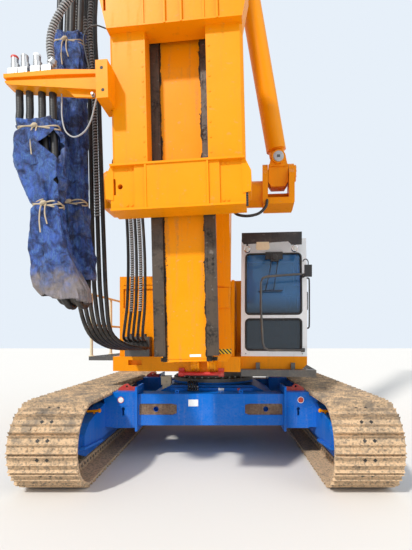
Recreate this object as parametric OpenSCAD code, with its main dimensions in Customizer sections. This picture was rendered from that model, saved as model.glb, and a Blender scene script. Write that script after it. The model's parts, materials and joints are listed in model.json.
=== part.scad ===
// Rotary piling rig on crawler tracks: blue undercarriage, yellow upper
// carriage with a white cab, parallelogram boom, box mast and sledge.
// Millimetres, +Z up, front towards -Y, cab on the +X side.
// The origin is on the ground under the slew axis.

/* [Undercarriage] */
// Overall width over both tracks
track_span = 4400; // [4300:10:4600]
// Width of a track shoe
shoe_w = 780; // [740:10:800]
// Overall length of a track
track_len = 5200; // [5000:20:5400]
// Height of a track with its shoes
track_h = 1050; // [1030:5:1080]
// Length of one track link
shoe_pitch = 216; // [200:2:230]
// Height of the bars on a shoe
bar_h = 38; // [20:1:45]
// Underside of the two cross beams
beam_z = 530; // [500:5:550]
// Height of a cross beam
beam_h = 455; // [430:5:470]
// Thickness of a cross beam, front to back
beam_t = 350; // [300:10:380]
// Front face of the front cross beam, ahead of the slew axis
beam_y = 1200; // [1150:10:1250]
// Inner face of the collar in which a cross beam slides
collar_x = 1060; // [1040:5:1080]
// Half width of the centre body
body_x = 640; // [560:10:660]
// Top of the centre body, under the slew ring
body_top = 1090; // [1080:5:1100]
// Radius of the slew ring's bolt circle
ring_bolt_r = 645; // [600:5:660]

/* [Upper carriage] */
// Slew angle of the upper carriage as it stands
slew_rest = -5; // [-10:0.5:10]
// Underside of the platform
deck_z = 1300; // [1280:5:1320]
// Thickness of the platform
deck_h = 220; // [200:5:240]
// Left edge of the platform
deck_left = 1400; // [1360:10:1440]
// Front edge of the platform, ahead of the slew axis
deck_front = 1100; // [1060:10:1140]
// Radius swept by the tail
tail_r = 3850; // [3700:10:3950]
// Front face of the counterweight, behind the slew axis
weight_y = 2900; // [2850:10:2950]
// Top of the engine house
house_top = 2900; // [2800:10:3000]
// Front of the engine house on the left, behind the slew axis
house_y = 650; // [600:10:700]
// Sheet thickness of the engine house and its doors
house_wall = 40; // [30:1:50]

/* [Cab] */
// Inner side of the cab
cab_x = 530; // [500:5:545]
// Width of the cab
cab_w = 990; // [950:5:1010]
// Front of the cab, ahead of the slew axis
cab_front = 900; // [880:10:960]
// Length of the cab
cab_len = 1700; // [1650:10:1740]
// Height of the yellow band under the cab
cab_band_h = 204; // [180:2:220]
// Height of the white cab
cab_h = 1806; // [1760:2:1850]
// Wall of the cab and its door
cab_wall = 45; // [35:1:55]

/* [Boom] */
// Boom foot, ahead of the slew axis
foot_y = 900; // [880:5:920]
// Height of the boom foot
foot_z = 1750; // [1730:5:1770]
// Reach of the boom from foot to saddle
boom_reach = 850; // [830:5:870]
// Rise of the boom from foot to saddle
boom_rise = 700; // [680:5:720]
// Height of the tie links above the boom
tie_rise = 800; // [780:5:820]
// Outer half width of the boom arms
arm_x = 370; // [360:5:375]
// Width of one boom arm
arm_w = 170; // [150:5:180]
// Depth of a boom arm
arm_d = 260; // [240:5:280]

/* [Saddle and back stays] */
// Height of the mast's tilt pin
pivot_z = 3695; // [3670:5:3710]
// Mast's tilt pin, ahead of the slew axis
pivot_y = 2010; // [2000:2:2020]
// Diameter of the saddle's cross tube
tube_d = 330; // [300:5:350]
// Cross tube, ahead of the slew axis
tube_y = 1650; // [1640:5:1660]
// Distance of a back stay's foot from the mast's middle
stay_x = 1050; // [1030:5:1080]
// Outer diameter of a back stay's barrel
stay_d = 255; // [230:5:265]
// Length of a back stay's barrel
stay_barrel = 2450; // [2300:10:2600]
// Diameter of a back stay's rod
stay_rod_d = 140; // [120:5:150]
// Height of the pin at the top of the back stays
stay_top_z = 8200; // [8000:10:8400]
// Half distance of the back stays at their tops
stay_top_x = 425; // [420:1:430]

/* [Mast] */
// Lean of the mast to the left as it stands
mast_lean = 1.4; // [0:0.1:3]
// Width of the mast's box
mast_w = 520; // [500:5:530]
// Front face of the guide rails, ahead of the slew axis
mast_front = 2800; // [2790:2:2810]
// Depth of the mast with its rails
mast_d = 660; // [640:5:670]
// Foot of the mast
mast_foot = 1550; // [1540:5:1600]
// Top of the mast's lower section
mast_joint = 9000; // [8800:50:9500]
// Top of the mast, under its head
mast_top = 18900; // [18500:50:19200]
// Distance over the two guide rails
rail_span = 680; // [670:2:690]
// Thickness of a guide rail
rail_t = 45; // [40:1:50]
// Plate thickness of the mast's box
mast_wall = 14; // [10:1:20]
// Radius of the rope sheaves on the mast's head
sheave_r = 330; // [300:5:350]

/* [Sledge] */
// Underside of the sledge
sledge_z = 3060; // [3000:10:3120]
// Height of the sledge
sledge_h = 2840; // [2700:10:2900]
// Width of the sledge over its columns
sledge_w = 1340; // [1320:2:1360]
// Thickness of the sledge frame
sledge_t = 170; // [150:2:180]
// Gap between the sledge frame and the rails
sledge_gap = 30; // [20:1:40]
// Width of the window in the sledge
window_w = 610; // [600:2:620]
// Height of the lower cross member
low_h = 470; // [450:5:490]
// Height of the window
window_h = 1310; // [1280:5:1330]

/* [Hidden] */
$fn = 48;
fit = 0.3;

blue = [0.04, 0.30, 0.66];
yellow = [0.98, 0.66, 0.05];
dust = [0.80, 0.68, 0.50];
steel = [0.35, 0.34, 0.33];
dark = [0.12, 0.12, 0.13];
white = [0.90, 0.90, 0.89];
red = [0.75, 0.12, 0.12];
silver = [0.75, 0.75, 0.76];

// Track sizes that follow from the driving ones
track_x = track_span / 2 - shoe_w / 2;
track_in = track_span / 2 - shoe_w;
wheel_y = track_len / 2 - track_h / 2;
track_mid = track_h / 2;
plate_r = track_mid - bar_h;
plate_t = 25;
chain_t = 110;
chain_w = 260;
chain_r = plate_r - plate_t - chain_t;
loop_len = 4 * wheel_y + 2 * PI * plate_r;
shoe_count = round(loop_len / shoe_pitch);
pitch = loop_len / shoe_count;

// Platform and house
deck_top = deck_z + deck_h;
cab_base = deck_z + 20;
cab_floor = cab_base + cab_band_h;
cab_out = cab_x + cab_w;
cab_back = cab_len - cab_front;
cab_top = cab_floor + cab_h;

// Mast and sledge, in the upper carriage's own frame
mast_back = mast_front - mast_d;
box_front = mast_front - rail_t;
window_z = sledge_z + low_h;
sledge_top = sledge_z + sledge_h;
sledge_front = mast_front + sledge_gap + sledge_t;
saddle_y = foot_y + boom_reach;
saddle_z = foot_z + boom_rise;
stay_y = tube_y;
stay_z = pivot_z + 260;
stay_pin = 170;
stay_top_y = mast_back - 150;

// Places the children on the slewed upper carriage
module on_upper() {
    rotate([0, 0, slew_rest]) children();
}

// Places the children on the leaning mast
module on_mast() {
    on_upper() translate([0, -pivot_y, pivot_z]) rotate([0, -mast_lean, 0])
        translate([0, pivot_y, -pivot_z]) children();
}

// Both sides of something drawn at +X
module both() {
    children();
    mirror([1, 0, 0]) children();
}

// A block from its low and high corners
module block(low, high) {
    translate(low) cube(high - low);
}

// A cylinder along X from one X to another, at a Y and Z
module rod_x(x1, x2, y, z, r) {
    translate([x1, y, z]) rotate([0, 90, 0]) cylinder(h = x2 - x1, r = r);
}

// A cylinder along Y
module rod_y(y1, y2, x, z, r) {
    translate([x, y1, z]) rotate([-90, 0, 0]) cylinder(h = y2 - y1, r = r);
}

// A plate in the YZ plane, from x1 to x2, with its outline as the child
module plate_x(x1, x2) {
    translate([x1, 0, 0]) rotate([90, 0, 90]) linear_extrude(x2 - x1) children();
}

// A plate in the XZ plane, from y1 to y2, with its outline as the child
module plate_y(y1, y2) {
    translate([0, y2, 0]) rotate([90, 0, 0]) linear_extrude(y2 - y1) children();
}

// Outline of a rectangle with rounded corners
function rounded(low, high, r, n = 4) = [for (c = [[high[0] - r, high[1] - r, 0],
    [low[0] + r, high[1] - r, 90], [low[0] + r, low[1] + r, 180], [high[0] - r, low[1] + r, 270]])
    for (i = [0:n]) [c[0] + r * cos(c[2] + 90 * i / n), c[1] + r * sin(c[2] + 90 * i / n)]];

// Straight bar of round ends between two points of a plane
module link_2d(a, b, r) {
    d = b - a;
    translate(a) circle(r);
    translate(b) circle(r);
    translate(a) rotate(atan2(d[1], d[0])) translate([0, 1 - r]) square([norm(d), 2 * r - 2]);
}

// Outline of a belt round the two track wheels, at a radius
module belt_2d(r) {
    square([2 * wheel_y, 2 * r], center = true);
    for (y = [-wheel_y, wheel_y]) translate([y, 0]) circle(r, $fn = 96);
}

// Point on the track's path at a distance along it, moved out by h
function belt_point(s, h) =
    let (arc = PI * plate_r, flat = 2 * wheel_y, r = plate_r + h, t = s % loop_len)
    t < flat ? [wheel_y - t, r]
    : t < flat + arc ? let (a = 90 + (t - flat) / arc * 180)
        [-wheel_y + r * cos(a), r * sin(a)]
    : t < 2 * flat + arc ? [-wheel_y + t - flat - arc, -r]
    : let (a = 270 + (t - 2 * flat - arc) / arc * 180)
        [wheel_y + r * cos(a), r * sin(a)];

// One shoe along its pitch: share of the pitch, share of the bar height
shoe_shape = [[0.00, -0.25], [0.03, 0.00], [0.08, 1.00], [0.15, 0.05],
    [0.42, 0.05], [0.49, 0.90], [0.56, 0.05], [0.83, 0.05], [0.90, 1.00], [0.97, 0.00]];

// Lower run of a track, arched by a hair so that it stands on its ends
run_arch = 1;
function arched(p) = [p[0], p[1] + (p[1] < 0 && abs(p[0]) < wheel_y
    ? run_arch * (1 - pow(p[0] / wheel_y, 2)) : 0)];

module track(x) {
    color(dust) translate([x, 0, track_mid]) rotate([90, 0, 90]) {
        difference() {
            translate([0, 0, -shoe_w / 2]) linear_extrude(shoe_w)
                polygon([for (i = [0:shoe_count - 1]) for (p = shoe_shape)
                    arched(belt_point((i + p[0]) * pitch, p[1] * bar_h))]);
            translate([0, 0, -shoe_w / 2 - 1]) linear_extrude(shoe_w + 2)
                belt_2d(plate_r - plate_t);
        }
        difference() {
            translate([0, 0, -chain_w / 2]) linear_extrude(chain_w)
                belt_2d(plate_r - plate_t);
            translate([0, 0, -chain_w / 2 - 1]) linear_extrude(chain_w + 2)
                belt_2d(chain_r);
        }
    }
}

// Idler, sprocket and rollers inside one track
roller_half = 100;
side_gap = 125;
roller_r = 105;
carrier_r = 70;
roller_count = 8;
module rollers(x) {
    wheel_r = chain_r - fit;
    color(steel) translate([x, 0, 0]) {
        rod_x(-roller_half, roller_half, -wheel_y, track_mid, wheel_r);
        rod_x(-side_gap, side_gap, -wheel_y, track_mid, 75);
        difference() {
            rod_x(-45, 45, wheel_y, track_mid, wheel_r);
            for (i = [0:19]) translate([-50, wheel_y, track_mid])
                rotate([i * 18, 0, 0]) translate([0, 0, wheel_r]) rotate([0, 90, 0])
                    cylinder(h = 100, r = 24, $fn = 16);
        }
        rod_x(-side_gap, side_gap, wheel_y, track_mid, 190);
        for (i = [0:roller_count - 1]) {
            y = -1600 + i * 3200 / (roller_count - 1);
            z = track_mid - chain_r + fit + roller_r;
            rod_x(-roller_half, roller_half, y, z, roller_r);
            rod_x(-side_gap, side_gap, y, z, 40);
        }
        for (y = [-800, 800]) {
            z = track_mid + chain_r - fit - carrier_r;
            rod_x(-roller_half, roller_half, y, z, carrier_r);
            rod_x(-side_gap, side_gap, y, z, 30);
        }
    }
}

// Side frame of one track, drawn for the right one
tongue_h = 290;
tongue_z = 560;
slide_gap = 5;
travel = 330;
collar_t = 30;
beam_out = 15;
panel_w = 125;
module track_frame_right_body() {
    frame_low = 330;
    difference() {
        union() {
            for (s = [-1, 1]) plate_x(track_x + s * 140 - 15, track_x + s * 140 + 15)
                polygon([[-wheel_y - 120, track_mid - 90], [-wheel_y + 420, frame_low - 110],
                    [wheel_y - 420, frame_low - 110], [wheel_y + 150, track_mid - 90],
                    [wheel_y + 150, track_mid + 90], [wheel_y - 300, 700],
                    [900, 745], [-900, 745], [-wheel_y + 300, 700],
                    [-wheel_y - 120, track_mid + 90]]);
            plate_x(track_x - 125, track_x + 125)
                polygon([[-1450, 440], [1450, 440], [1450, 680], [-1450, 680]]);
            plate_x(track_in + panel_w - 20, track_x - 155)
                polygon([[-2050, 440], [-1650, 400], [1650, 400], [1750, 430], [1750, 700],
                    [1300, 860], [-1300, 860], [-1900, 720], [-2050, 600]]);
            // Shelf under the front end, bosses of the idler, drive of the sprocket
            plate_x(track_in + panel_w - 60, track_in + panel_w)
                polygon([[-2150, 475], [-1450, 400], [-1450, 370], [-2150, 445]]);
            for (x = [track_x - 180, track_x + 154]) rod_x(x, x + 26, -wheel_y, track_mid, 105);
            rod_x(track_x - 290, track_x - 154, wheel_y, track_mid, 190);
            rod_x(track_x - 320, track_x - 289, wheel_y, track_mid, 120);
            for (s = [-1, 1]) {
                low = s < 0 ? -beam_y - 35 : beam_y - beam_t - 35;
                block([collar_x + collar_t, low, beam_z - 30],
                    [track_in, low + beam_t + 70, beam_z + beam_h + 30]);
                block([track_in - 20, low, beam_z - 16], [track_in + panel_w, low + beam_t + 70, 970]);
                block([collar_x, low - 30, beam_z - 75],
                    [collar_x + collar_t, low + beam_t + 100, beam_z + beam_h + 110]);
                face = s < 0 ? low : low + beam_t + 70;
                block([collar_x + 120, face - 6, beam_z + 290], [collar_x + 290, face + 6, beam_z + 300]);
            }
        }
        for (s = [-1, 1]) {
            low = s < 0 ? -beam_y : beam_y - beam_t;
            block([collar_x - 1, low - slide_gap, beam_z - fit],
                [collar_x + beam_out + travel + slide_gap, low + beam_t + slide_gap,
                 beam_z + beam_h + slide_gap]);
            block([collar_x + beam_out, low + 45, tongue_z - fit],
                [track_in + travel + 20, low + beam_t - 45, tongue_z + tongue_h + slide_gap]);
            // Keyhole in the front and the back panel
            face = s < 0 ? low - 35 : low + beam_t + 35;
            rod_y(face - 30, face + 30, collar_x + 205, beam_z + 245, 26);
            block([collar_x + 190, face - 30, beam_z + 150], [collar_x + 220, face + 30, beam_z + 245]);
        }
        for (i = [0:roller_count - 1]) {
            y = -1600 + i * 3200 / (roller_count - 1);
            z = track_mid - chain_r + fit + roller_r;
            rod_x(track_x - side_gap, track_x + side_gap, y, z, roller_r + 15);
        }
    }
    for (y = [-800, 800])
        rod_x(track_x - 125, track_x - 100 - fit, y, 720, 25);
}

// Red hook plates, yellow lugs on one side frame, drawn for the right one
hook_w = track_in - collar_x - collar_t - 30;
// Hook plate from the front: share of its width, height
hook_shape = [[0, 0], [1, 0], [0.95, 40], [0.67, 95], [0.5, 100], [0.37, 60], [0.27, 55], [0, 62]];
module frame_hooks_right_body() {
    top = beam_z + beam_h + 30;
    for (s = [-1, 1]) {
        y = s * (beam_y - beam_t / 2);
        translate([collar_x + collar_t + 4, y + 20, top]) rotate([90, 0, 0])
            linear_extrude(40) difference() {
                polygon([for (p = hook_shape) [p[0] * hook_w, p[1]]]);
                translate([0.56 * hook_w, 62]) circle(17);
            }
    }
}

module car_body() {
    inner_y = beam_y - beam_t;
    color(blue) {
        difference() {
            union() {
                block([-body_x, -inner_y + fit, 480], [body_x, inner_y - fit, body_top - 60]);
                // Shoulders between the two beams, clear of the collars
                plate_y(-inner_y + 85, inner_y - 85)
                    polygon([[-1000, 600], [1000, 600], [1000, 880], [body_x - 1, body_top - 30],
                        [-body_x + 1, body_top - 30], [-1000, 880]]);
                translate([0, 0, body_top - 60]) cylinder(h = 60, r = ring_bolt_r + 45, $fn = 96);
            }
            translate([0, 0, 400]) cylinder(h = 900, r = ring_hole, $fn = 96);
        }
    }
}

module crossbeams() {
    color(blue) for (s = [-1, 1]) {
        low = s < 0 ? -beam_y : beam_y - beam_t;
        face = s < 0 ? low : low + beam_t;
        difference() {
            union() {
                block([-collar_x - beam_out, low, beam_z],
                    [collar_x + beam_out, low + beam_t, beam_z + beam_h]);
                block([-track_in + 20, low + 50, tongue_z],
                    [track_in - 20, low + beam_t - 50, tongue_z + tongue_h]);
            }
            both() block([495, face - 12, beam_z + 150], [collar_x - 15, face + 12, beam_z + 315]);
            both() rod_y(face - 120, face + 120, 800, beam_z + 235, 38);
        }
        // Eyes on top of the beam
        for (x = [-500, 440]) difference() {
            plate_y(low + 60, low + 85) polygon([[x - 32, beam_z + beam_h - 1], [x + 32, beam_z + beam_h - 1],
                [x + 26, beam_z + beam_h + 55], [x - 26, beam_z + beam_h + 55]]);
            rod_y(low + 50, low + 95, x, beam_z + beam_h + 30, 12);
        }
    }
}

ring_flange = 55;
ring_hole = 430;
module slew_ring() {
    color(steel) {
        difference() {
            union() {
                translate([0, 0, body_top]) cylinder(h = ring_flange, r = ring_bolt_r + 45, $fn = 96);
                translate([0, 0, body_top]) cylinder(h = deck_z - body_top - fit, r = 560, $fn = 96);
            }
            translate([0, 0, body_top - 1]) cylinder(h = 300, r = ring_hole, $fn = 96);
        }
        for (i = [0:35]) rotate([0, 0, i * 10 + 5])
            translate([ring_bolt_r, 0, body_top + ring_flange]) cylinder(h = 22, r = 20, $fn = 6);
    }
}

module platform() {
    band_back = cab_back + 60 - fit;
    color(yellow) on_upper() {
        difference() {
            translate([0, 0, deck_z]) linear_extrude(deck_h)
                polygon([[-deck_left, -deck_front], [cab_x - fit, -deck_front],
                    [cab_x - fit, cab_back + 60], [cab_out, cab_back + 60],
                    [cab_out, weight_y], [-deck_left, weight_y]]);
            block([-1165, -deck_front - 1, deck_z + 92], [-955, -deck_front + 70, deck_z + 168]);
            // Space under the deck for the slew ring's rotary union
            translate([0, 0, deck_z - 1]) cylinder(h = 141, r = 380, $fn = 64);
        }
        // Band under the cab, its outer edge chamfered
        plate_y(-cab_front, band_back) polygon([[cab_x, cab_base], [cab_out - 85, cab_base],
            [cab_out, cab_base + 85], [cab_out, cab_floor], [cab_x, cab_floor]]);
        // Clevises of the two lift cylinders
        both() for (x = [lift_x - 60, lift_x + 30]) plate_x(x, x + 30) {
            translate([-lift_y, lift_z]) circle(80);
            polygon([[-lift_y, lift_z - 80], [-deck_front + 1, deck_z + 5],
                [-deck_front + 1, deck_top - 5], [-lift_y, lift_z + 80]]);
        }
        both() rod_x(lift_x - 45, lift_x + 45, -lift_y, lift_z, lift_foot_r);
    }
}

// Lift cylinder: foot and rod pin in the side view
lift_y = 1190;
lift_z = 1420;
lift_end_y = 1560;
lift_end_z = 2090;
lift_x = 120;
lift_foot_r = 38;
lift_pin_r = 30;
lift_eye = 80;
lift_barrel = 470;
lift_rod_r = 45;
lift_swing = 28;
run_gap = 0.05;
lift_dy = lift_end_y - lift_y;
lift_dz = lift_end_z - lift_z;
lift_len = norm([lift_dy, lift_dz]);
lift_tilt = atan2(lift_dy, lift_dz);

module at_lift() {
    on_upper() for (x = [-lift_x, lift_x]) translate([x, -lift_y, lift_z])
        rotate([lift_tilt, 0, 0]) children();
}

module lift_barrels() {
    color(yellow) at_lift() {
        difference() {
            union() {
                rod_x(-28, 28, 0, 0, 75);
                block([-28, -55, 0], [28, 55, 101]);
                translate([0, 0, 100]) cylinder(h = lift_barrel - 100, r = 78);
                translate([0, 0, lift_barrel - 60]) cylinder(h = 60, r = 88);
            }
            rod_x(-60, 60, 0, 0, lift_foot_r + run_gap);
            translate([0, 0, 115]) cylinder(h = lift_barrel, r = lift_rod_r + run_gap);
        }
    }
}

module lift_rods() {
    color(silver) at_lift() {
        difference() {
            union() {
                translate([0, 0, 306]) cylinder(h = lift_len - 306 - 70, r = lift_rod_r);
                rod_x(-28, 28, 0, lift_len, lift_eye);
            }
            rod_x(-60, 60, 0, lift_len, lift_pin_r + lift_swing);
        }
    }
}

// Outline of one boom arm or tie in the side view, from its foot
module arm_2d(y, z, r) {
    link_2d([-y, z], [-y - boom_reach, z + boom_rise], r);
}

module boom() {
    color(yellow) on_upper() difference() {
        union() {
            both() plate_x(arm_x - arm_w, arm_x) arm_2d(foot_y, foot_z, arm_d / 2);
            translate([0, -foot_y - boom_reach / 2, foot_z + boom_rise / 2])
                rotate([-atan2(boom_rise, boom_reach), 0, 0])
                block([-(arm_x - arm_w) - 1, 0, -70], [arm_x - arm_w + 1, 300, 70]);
            for (x = [-arm_x + arm_w - 40, -18, arm_x - arm_w + 10]) plate_x(x, x == -18 ? 18 : x + 30) {
                translate([-lift_end_y, lift_end_z]) circle(65);
                polygon([[-lift_end_y - 25, lift_end_z - 60], [-1190, 1900],
                    [-1330, 2090], [-1500, 2200], [-lift_end_y - 25, lift_end_z + 60]]);
            }
            rod_x(-arm_x + arm_w - 30, arm_x - arm_w + 30, -lift_end_y, lift_end_z, lift_pin_r);
        }
        both() rod_x(arm_x - arm_w - 1, arm_x + 1, -foot_y, foot_z, 60.05);
        both() rod_x(arm_x - arm_w - 1, arm_x + 1, -saddle_y, saddle_z, 60.05);
    }
}

tie_z = foot_z + tie_rise;
tie_y = foot_y - 60;
module tie_links() {
    color(yellow) on_upper() both() difference() {
        plate_x(arm_x - 110, arm_x - 20) arm_2d(tie_y, tie_z, 85);
        rod_x(0, arm_x + 5, -tie_y, tie_z, 45.05);
        rod_x(0, arm_x + 5, -tie_y - boom_reach, tie_z + boom_rise, 45.05);
    }
}

// Two cheeks on the platform that carry the boom and the tie links
stand_x = 385;
module boom_stand() {
    color(yellow) on_upper() {
        both() plate_x(stand_x, stand_x + 45)
            polygon([[-foot_y - 130, deck_top], [-300, deck_top], [-420, tie_z + 60],
                [-tie_y + 60, tie_z + 130], [-tie_y - 90, tie_z + 130], [-foot_y - 130, foot_z + 100]]);
        for (y = [-620]) block([-stand_x, y, deck_top], [stand_x, y + 40, foot_z + 500]);
        both() rod_x(arm_x - arm_w, stand_x + 1, -foot_y, foot_z, 60);
        both() rod_x(arm_x - 110, stand_x + 1, -tie_y, tie_z, 45);
    }
}

fork_x = 132;
fork_t = 70;
module saddle() {
    low_y = -saddle_y;
    color(yellow) on_upper() {
        both() plate_x(stand_x, stand_x + 40) difference() {
            polygon([[low_y - 130, saddle_z - 130], [low_y + 120, saddle_z - 130],
                [-tube_y + 200, pivot_z - 100], [-tube_y + 165, pivot_z + 140],
                [-pivot_y - 60, pivot_z + 140], [-pivot_y - 100, pivot_z - 120],
                [low_y - 150, pivot_z - 420]]);
            translate([-pivot_y, pivot_z]) circle(70.05);
        }
        both() rod_x(arm_x - arm_w, stand_x + 1, low_y, saddle_z, 60);
        both() rod_x(arm_x - 110, stand_x + 1, -tie_y - boom_reach, tie_z + boom_rise, 45);
        rod_x(-(stay_x - fork_x - 10), stay_x - fork_x - 10, -tube_y, pivot_z, tube_d / 2);
        both() {
            for (x = [stay_x - fork_x - fork_t, stay_x + fork_x]) plate_x(x, x + fork_t) difference() {
                union() {
                    polygon([[-stay_y - 190, pivot_z - 165], [-stay_y + 190, pivot_z - 165],
                        [-stay_y + 190, stay_z - 60], [-stay_y + 118, stay_z + 20],
                        [-stay_y - 118, stay_z + 20], [-stay_y - 190, stay_z - 60]]);
                    translate([-stay_y, stay_z]) circle(120);
                }
                translate([-stay_y, stay_z]) circle(60.05);
            }
            // Bearing caps on the outer cheeks
            difference() {
                rod_x(stay_x + fork_x + fork_t - 1, stay_x + fork_x + fork_t + 28, -stay_y, stay_z, 104);
                rod_x(stay_x + fork_x, stay_x + fork_x + fork_t + 14, -stay_y, stay_z, 60.05);
            }
            block([stay_x - 190, -stay_y - 190, pivot_z - 190],
                [stay_x + 190, -stay_y + 190, pivot_z - 110]);
            block([stay_x - 190, -stay_y + 150, pivot_z - 190],
                [stay_x + 190, -stay_y + 190, pivot_z + 60]);
        }
    }
}

// Places the children in a back stay's own direction, foot pin at the origin
function lean_point(p) =
    [p[0] * cos(mast_lean) - (p[2] - pivot_z) * sin(mast_lean), p[1],
     pivot_z + p[0] * sin(mast_lean) + (p[2] - pivot_z) * cos(mast_lean)];
function mast_point(p) =
    [p[0] * cos(mast_lean) + (p[2] - pivot_z) * sin(mast_lean), p[1],
     pivot_z - p[0] * sin(mast_lean) + (p[2] - pivot_z) * cos(mast_lean)];
function stay_top(side) = lean_point([side * stay_top_x, -stay_top_y, stay_top_z]);
function stay_vec(side) = stay_top(side) - [side * stay_x, -stay_y, stay_z];
function stay_pitch(side) = atan2(-stay_vec(side)[1], stay_vec(side)[2]);
function stay_run(side) = norm([stay_vec(side)[1], stay_vec(side)[2]]) - stay_pin;
function stay_yaw(side) = atan2(stay_vec(side)[0], stay_run(side));
function stay_len(side) = norm([stay_vec(side)[0], stay_run(side)]);

module at_stay(side) {
    on_upper() translate([side * stay_x, -stay_y, stay_z])
        rotate([stay_pitch(side), 0, 0]) children();
}

module along_stay(side) {
    at_stay(side) translate([0, 0, stay_pin]) rotate([0, stay_yaw(side), 0]) children();
}

module stay_barrels() {
    reach = fork_x + fork_t;
    color(yellow) for (side = [-1, 1]) {
        at_stay(side) {
            rod_x(-reach, reach, 0, 0, 60);
            difference() {
                union() {
                    plate_y(-110, 110) polygon([[-126, -130], [-88, -190], [88, -190], [126, -130],
                        [126, 85], [95, 110], [-95, 110], [-126, 85]]);
                    for (y = [-125, 70]) plate_y(y, y + 55) {
                        polygon([[-120, 60], [120, 60], [95, stay_pin], [-95, stay_pin]]);
                        translate([0, stay_pin]) circle(95);
                    }
                }
                block([-140, -66, 80], [140, 66, 400]);
            }
            rod_y(-150, 140, 0, stay_pin, 55);
            difference() {
                rod_y(-160, -125, 0, stay_pin, 84);
                rod_y(-161, -152, 0, stay_pin, 66);
            }
            rod_y(-162, -125, 0, stay_pin, 44);
        }
        along_stay(side) difference() {
            union() {
                rod_y(-62, 62, 0, 0, 85);
                translate([0, 0, 50]) cylinder(h = 100, r = 100);
                translate([0, 0, 130]) cylinder(h = stay_barrel - 130, r = stay_d / 2);
                translate([0, 0, stay_barrel - 90]) cylinder(h = 90, r = stay_d / 2 + 14);
            }
            rod_y(-150, 150, 0, 0, 54);
            for (y = [-140, 62]) block([-140, y, -100], [140, y + 78, 120]);
            translate([0, 0, 400]) cylinder(h = stay_barrel, r = stay_rod_d / 2 + 0.05);
        }
    }
}

tongue_len = 230;
module stay_rod(side) {
    eye = stay_len(side);
    color(silver) along_stay(side) difference() {
        union() {
            translate([0, 0, 700]) cylinder(h = eye - 700 - tongue_len, r = stay_rod_d / 2);
            translate([0, 0, eye]) rotate([0, -stay_yaw(side) - mast_lean, 0]) {
                rod_x(-28, 28, 0, 0, 100);
                block([-28, -60, -tongue_len - 20], [28, 60, -80]);
            }
        }
        translate([0, 0, eye]) rotate([0, -stay_yaw(side) - mast_lean, 0])
            rod_x(-60, 60, 0, 0, 52);
    }
}

// Box of one mast section, from one height to another
module mast_box(z1, z2) {
    x = mast_w / 2;
    difference() {
        block([-x, -box_front, z1], [x, -mast_back, z2]);
        block([-x + mast_wall, -box_front + mast_wall, z1 - 1],
            [x - mast_wall, -mast_back - mast_wall, z2 + 1]);
    }
    for (z = [z1, z2 - 40]) difference() {
        block([-x - 45, -box_front + 90, z], [x + 45, -mast_back + 60, z + 40]);
        block([-x + mast_wall, -box_front + mast_wall, z - 1],
            [x - mast_wall, -mast_back - mast_wall, z + 41]);
    }
}

module mast_lower() {
    x = mast_w / 2;
    color(yellow) on_mast() {
        mast_box(mast_foot, mast_joint - fit);
        // Doubler on the front face
        block([-x + 41, -box_front - 7, mast_foot + 30], [x - 41, -box_front + 1, pivot_z + 950]);
        // Side plates of the foot, in two lengths
        both() {
            block([x - 1, -mast_back - 40, mast_foot + 850], [x + 178, -mast_back - 12, pivot_z - 400]);
            block([x - 1, -mast_back - 55, mast_foot + 860], [x + 100, -mast_back - 39, pivot_z - 400]);
            plate_y(-mast_back - 30, -mast_back + 2) polygon([[x - 1, mast_foot - 40],
                [x + 110, mast_foot - 40], [x + 165, mast_foot + 30], [x + 168, mast_foot + 851],
                [x - 1, mast_foot + 851]]);
            block([x - 1, -mast_back - 45, mast_foot + 600], [x + 168, -mast_back - 29, mast_foot + 840]);
        }
        // Tilt lugs behind the mast
        both() plate_x(x - 40, stand_x - 14) {
            translate([-pivot_y, pivot_z]) circle(125);
            polygon([[-mast_back - 10, pivot_z - 260], [-pivot_y, pivot_z - 125],
                [-pivot_y, pivot_z + 125], [-mast_back - 10, pivot_z + 260]]);
        }
        translate([0, -pivot_y, pivot_z]) rotate([0, mast_lean, 0])
            rod_x(-stand_x - 40, stand_x + 40, 0, 0, 70);
        // Forks for the back stays
        both() for (x1 = [stay_top_x - 88, stay_top_x + 53]) plate_x(x1, x1 + 35) {
            translate([-stay_top_y, stay_top_z]) circle(105);
            polygon([[-mast_back - 120, stay_top_z - 330], [-mast_back, stay_top_z - 330],
                [-stay_top_y, stay_top_z - 105], [-stay_top_y, stay_top_z + 105],
                [-mast_back, stay_top_z + 330], [-mast_back - 120, stay_top_z + 330]]);
        }
        both() block([x - 1, -mast_back - 120, stay_top_z - 330], [stay_top_x + 88, -mast_back - 90,
            stay_top_z + 330]);
        both() rod_x(stay_top_x - 60, stay_top_x + 60, -stay_top_y, stay_top_z, 40);
    }
}

module mast_upper() {
    color(yellow) on_mast() {
        mast_box(mast_joint, mast_top - fit);
        // Bracket that carries the hoses half way up
        block([-1060, -2570, hose_z], [-mast_w / 2 + 1, -2230, hose_z + 30]);
        plate_x(-1000, -980) polygon([[-2570, hose_z + 29], [-2230, hose_z + 29], [-2300, hose_z + 120]]);
        // Frame of the small winch
        both() plate_x(195, 225) {
            translate([-aux_y, aux_z]) circle(110);
            polygon([[-mast_back - 5, aux_z - 300], [-aux_y, aux_z - 110], [-aux_y, aux_z + 110],
                [-mast_back - 5, aux_z + 300]]);
        }
        rod_x(-225, 225, -aux_y, aux_z, 40);
    }
}

module mast_rails() {
    color(steel) on_mast() both() {
        block([mast_w / 2 - 40, -mast_front, mast_foot + 60], [rail_span / 2, -box_front - fit,
            mast_top - 60]);
        block([mast_w / 2 + fit, -box_front - fit, mast_foot + 60],
            [mast_w / 2 + 22, -box_front + 80, mast_top - 60]);
    }
}

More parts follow.
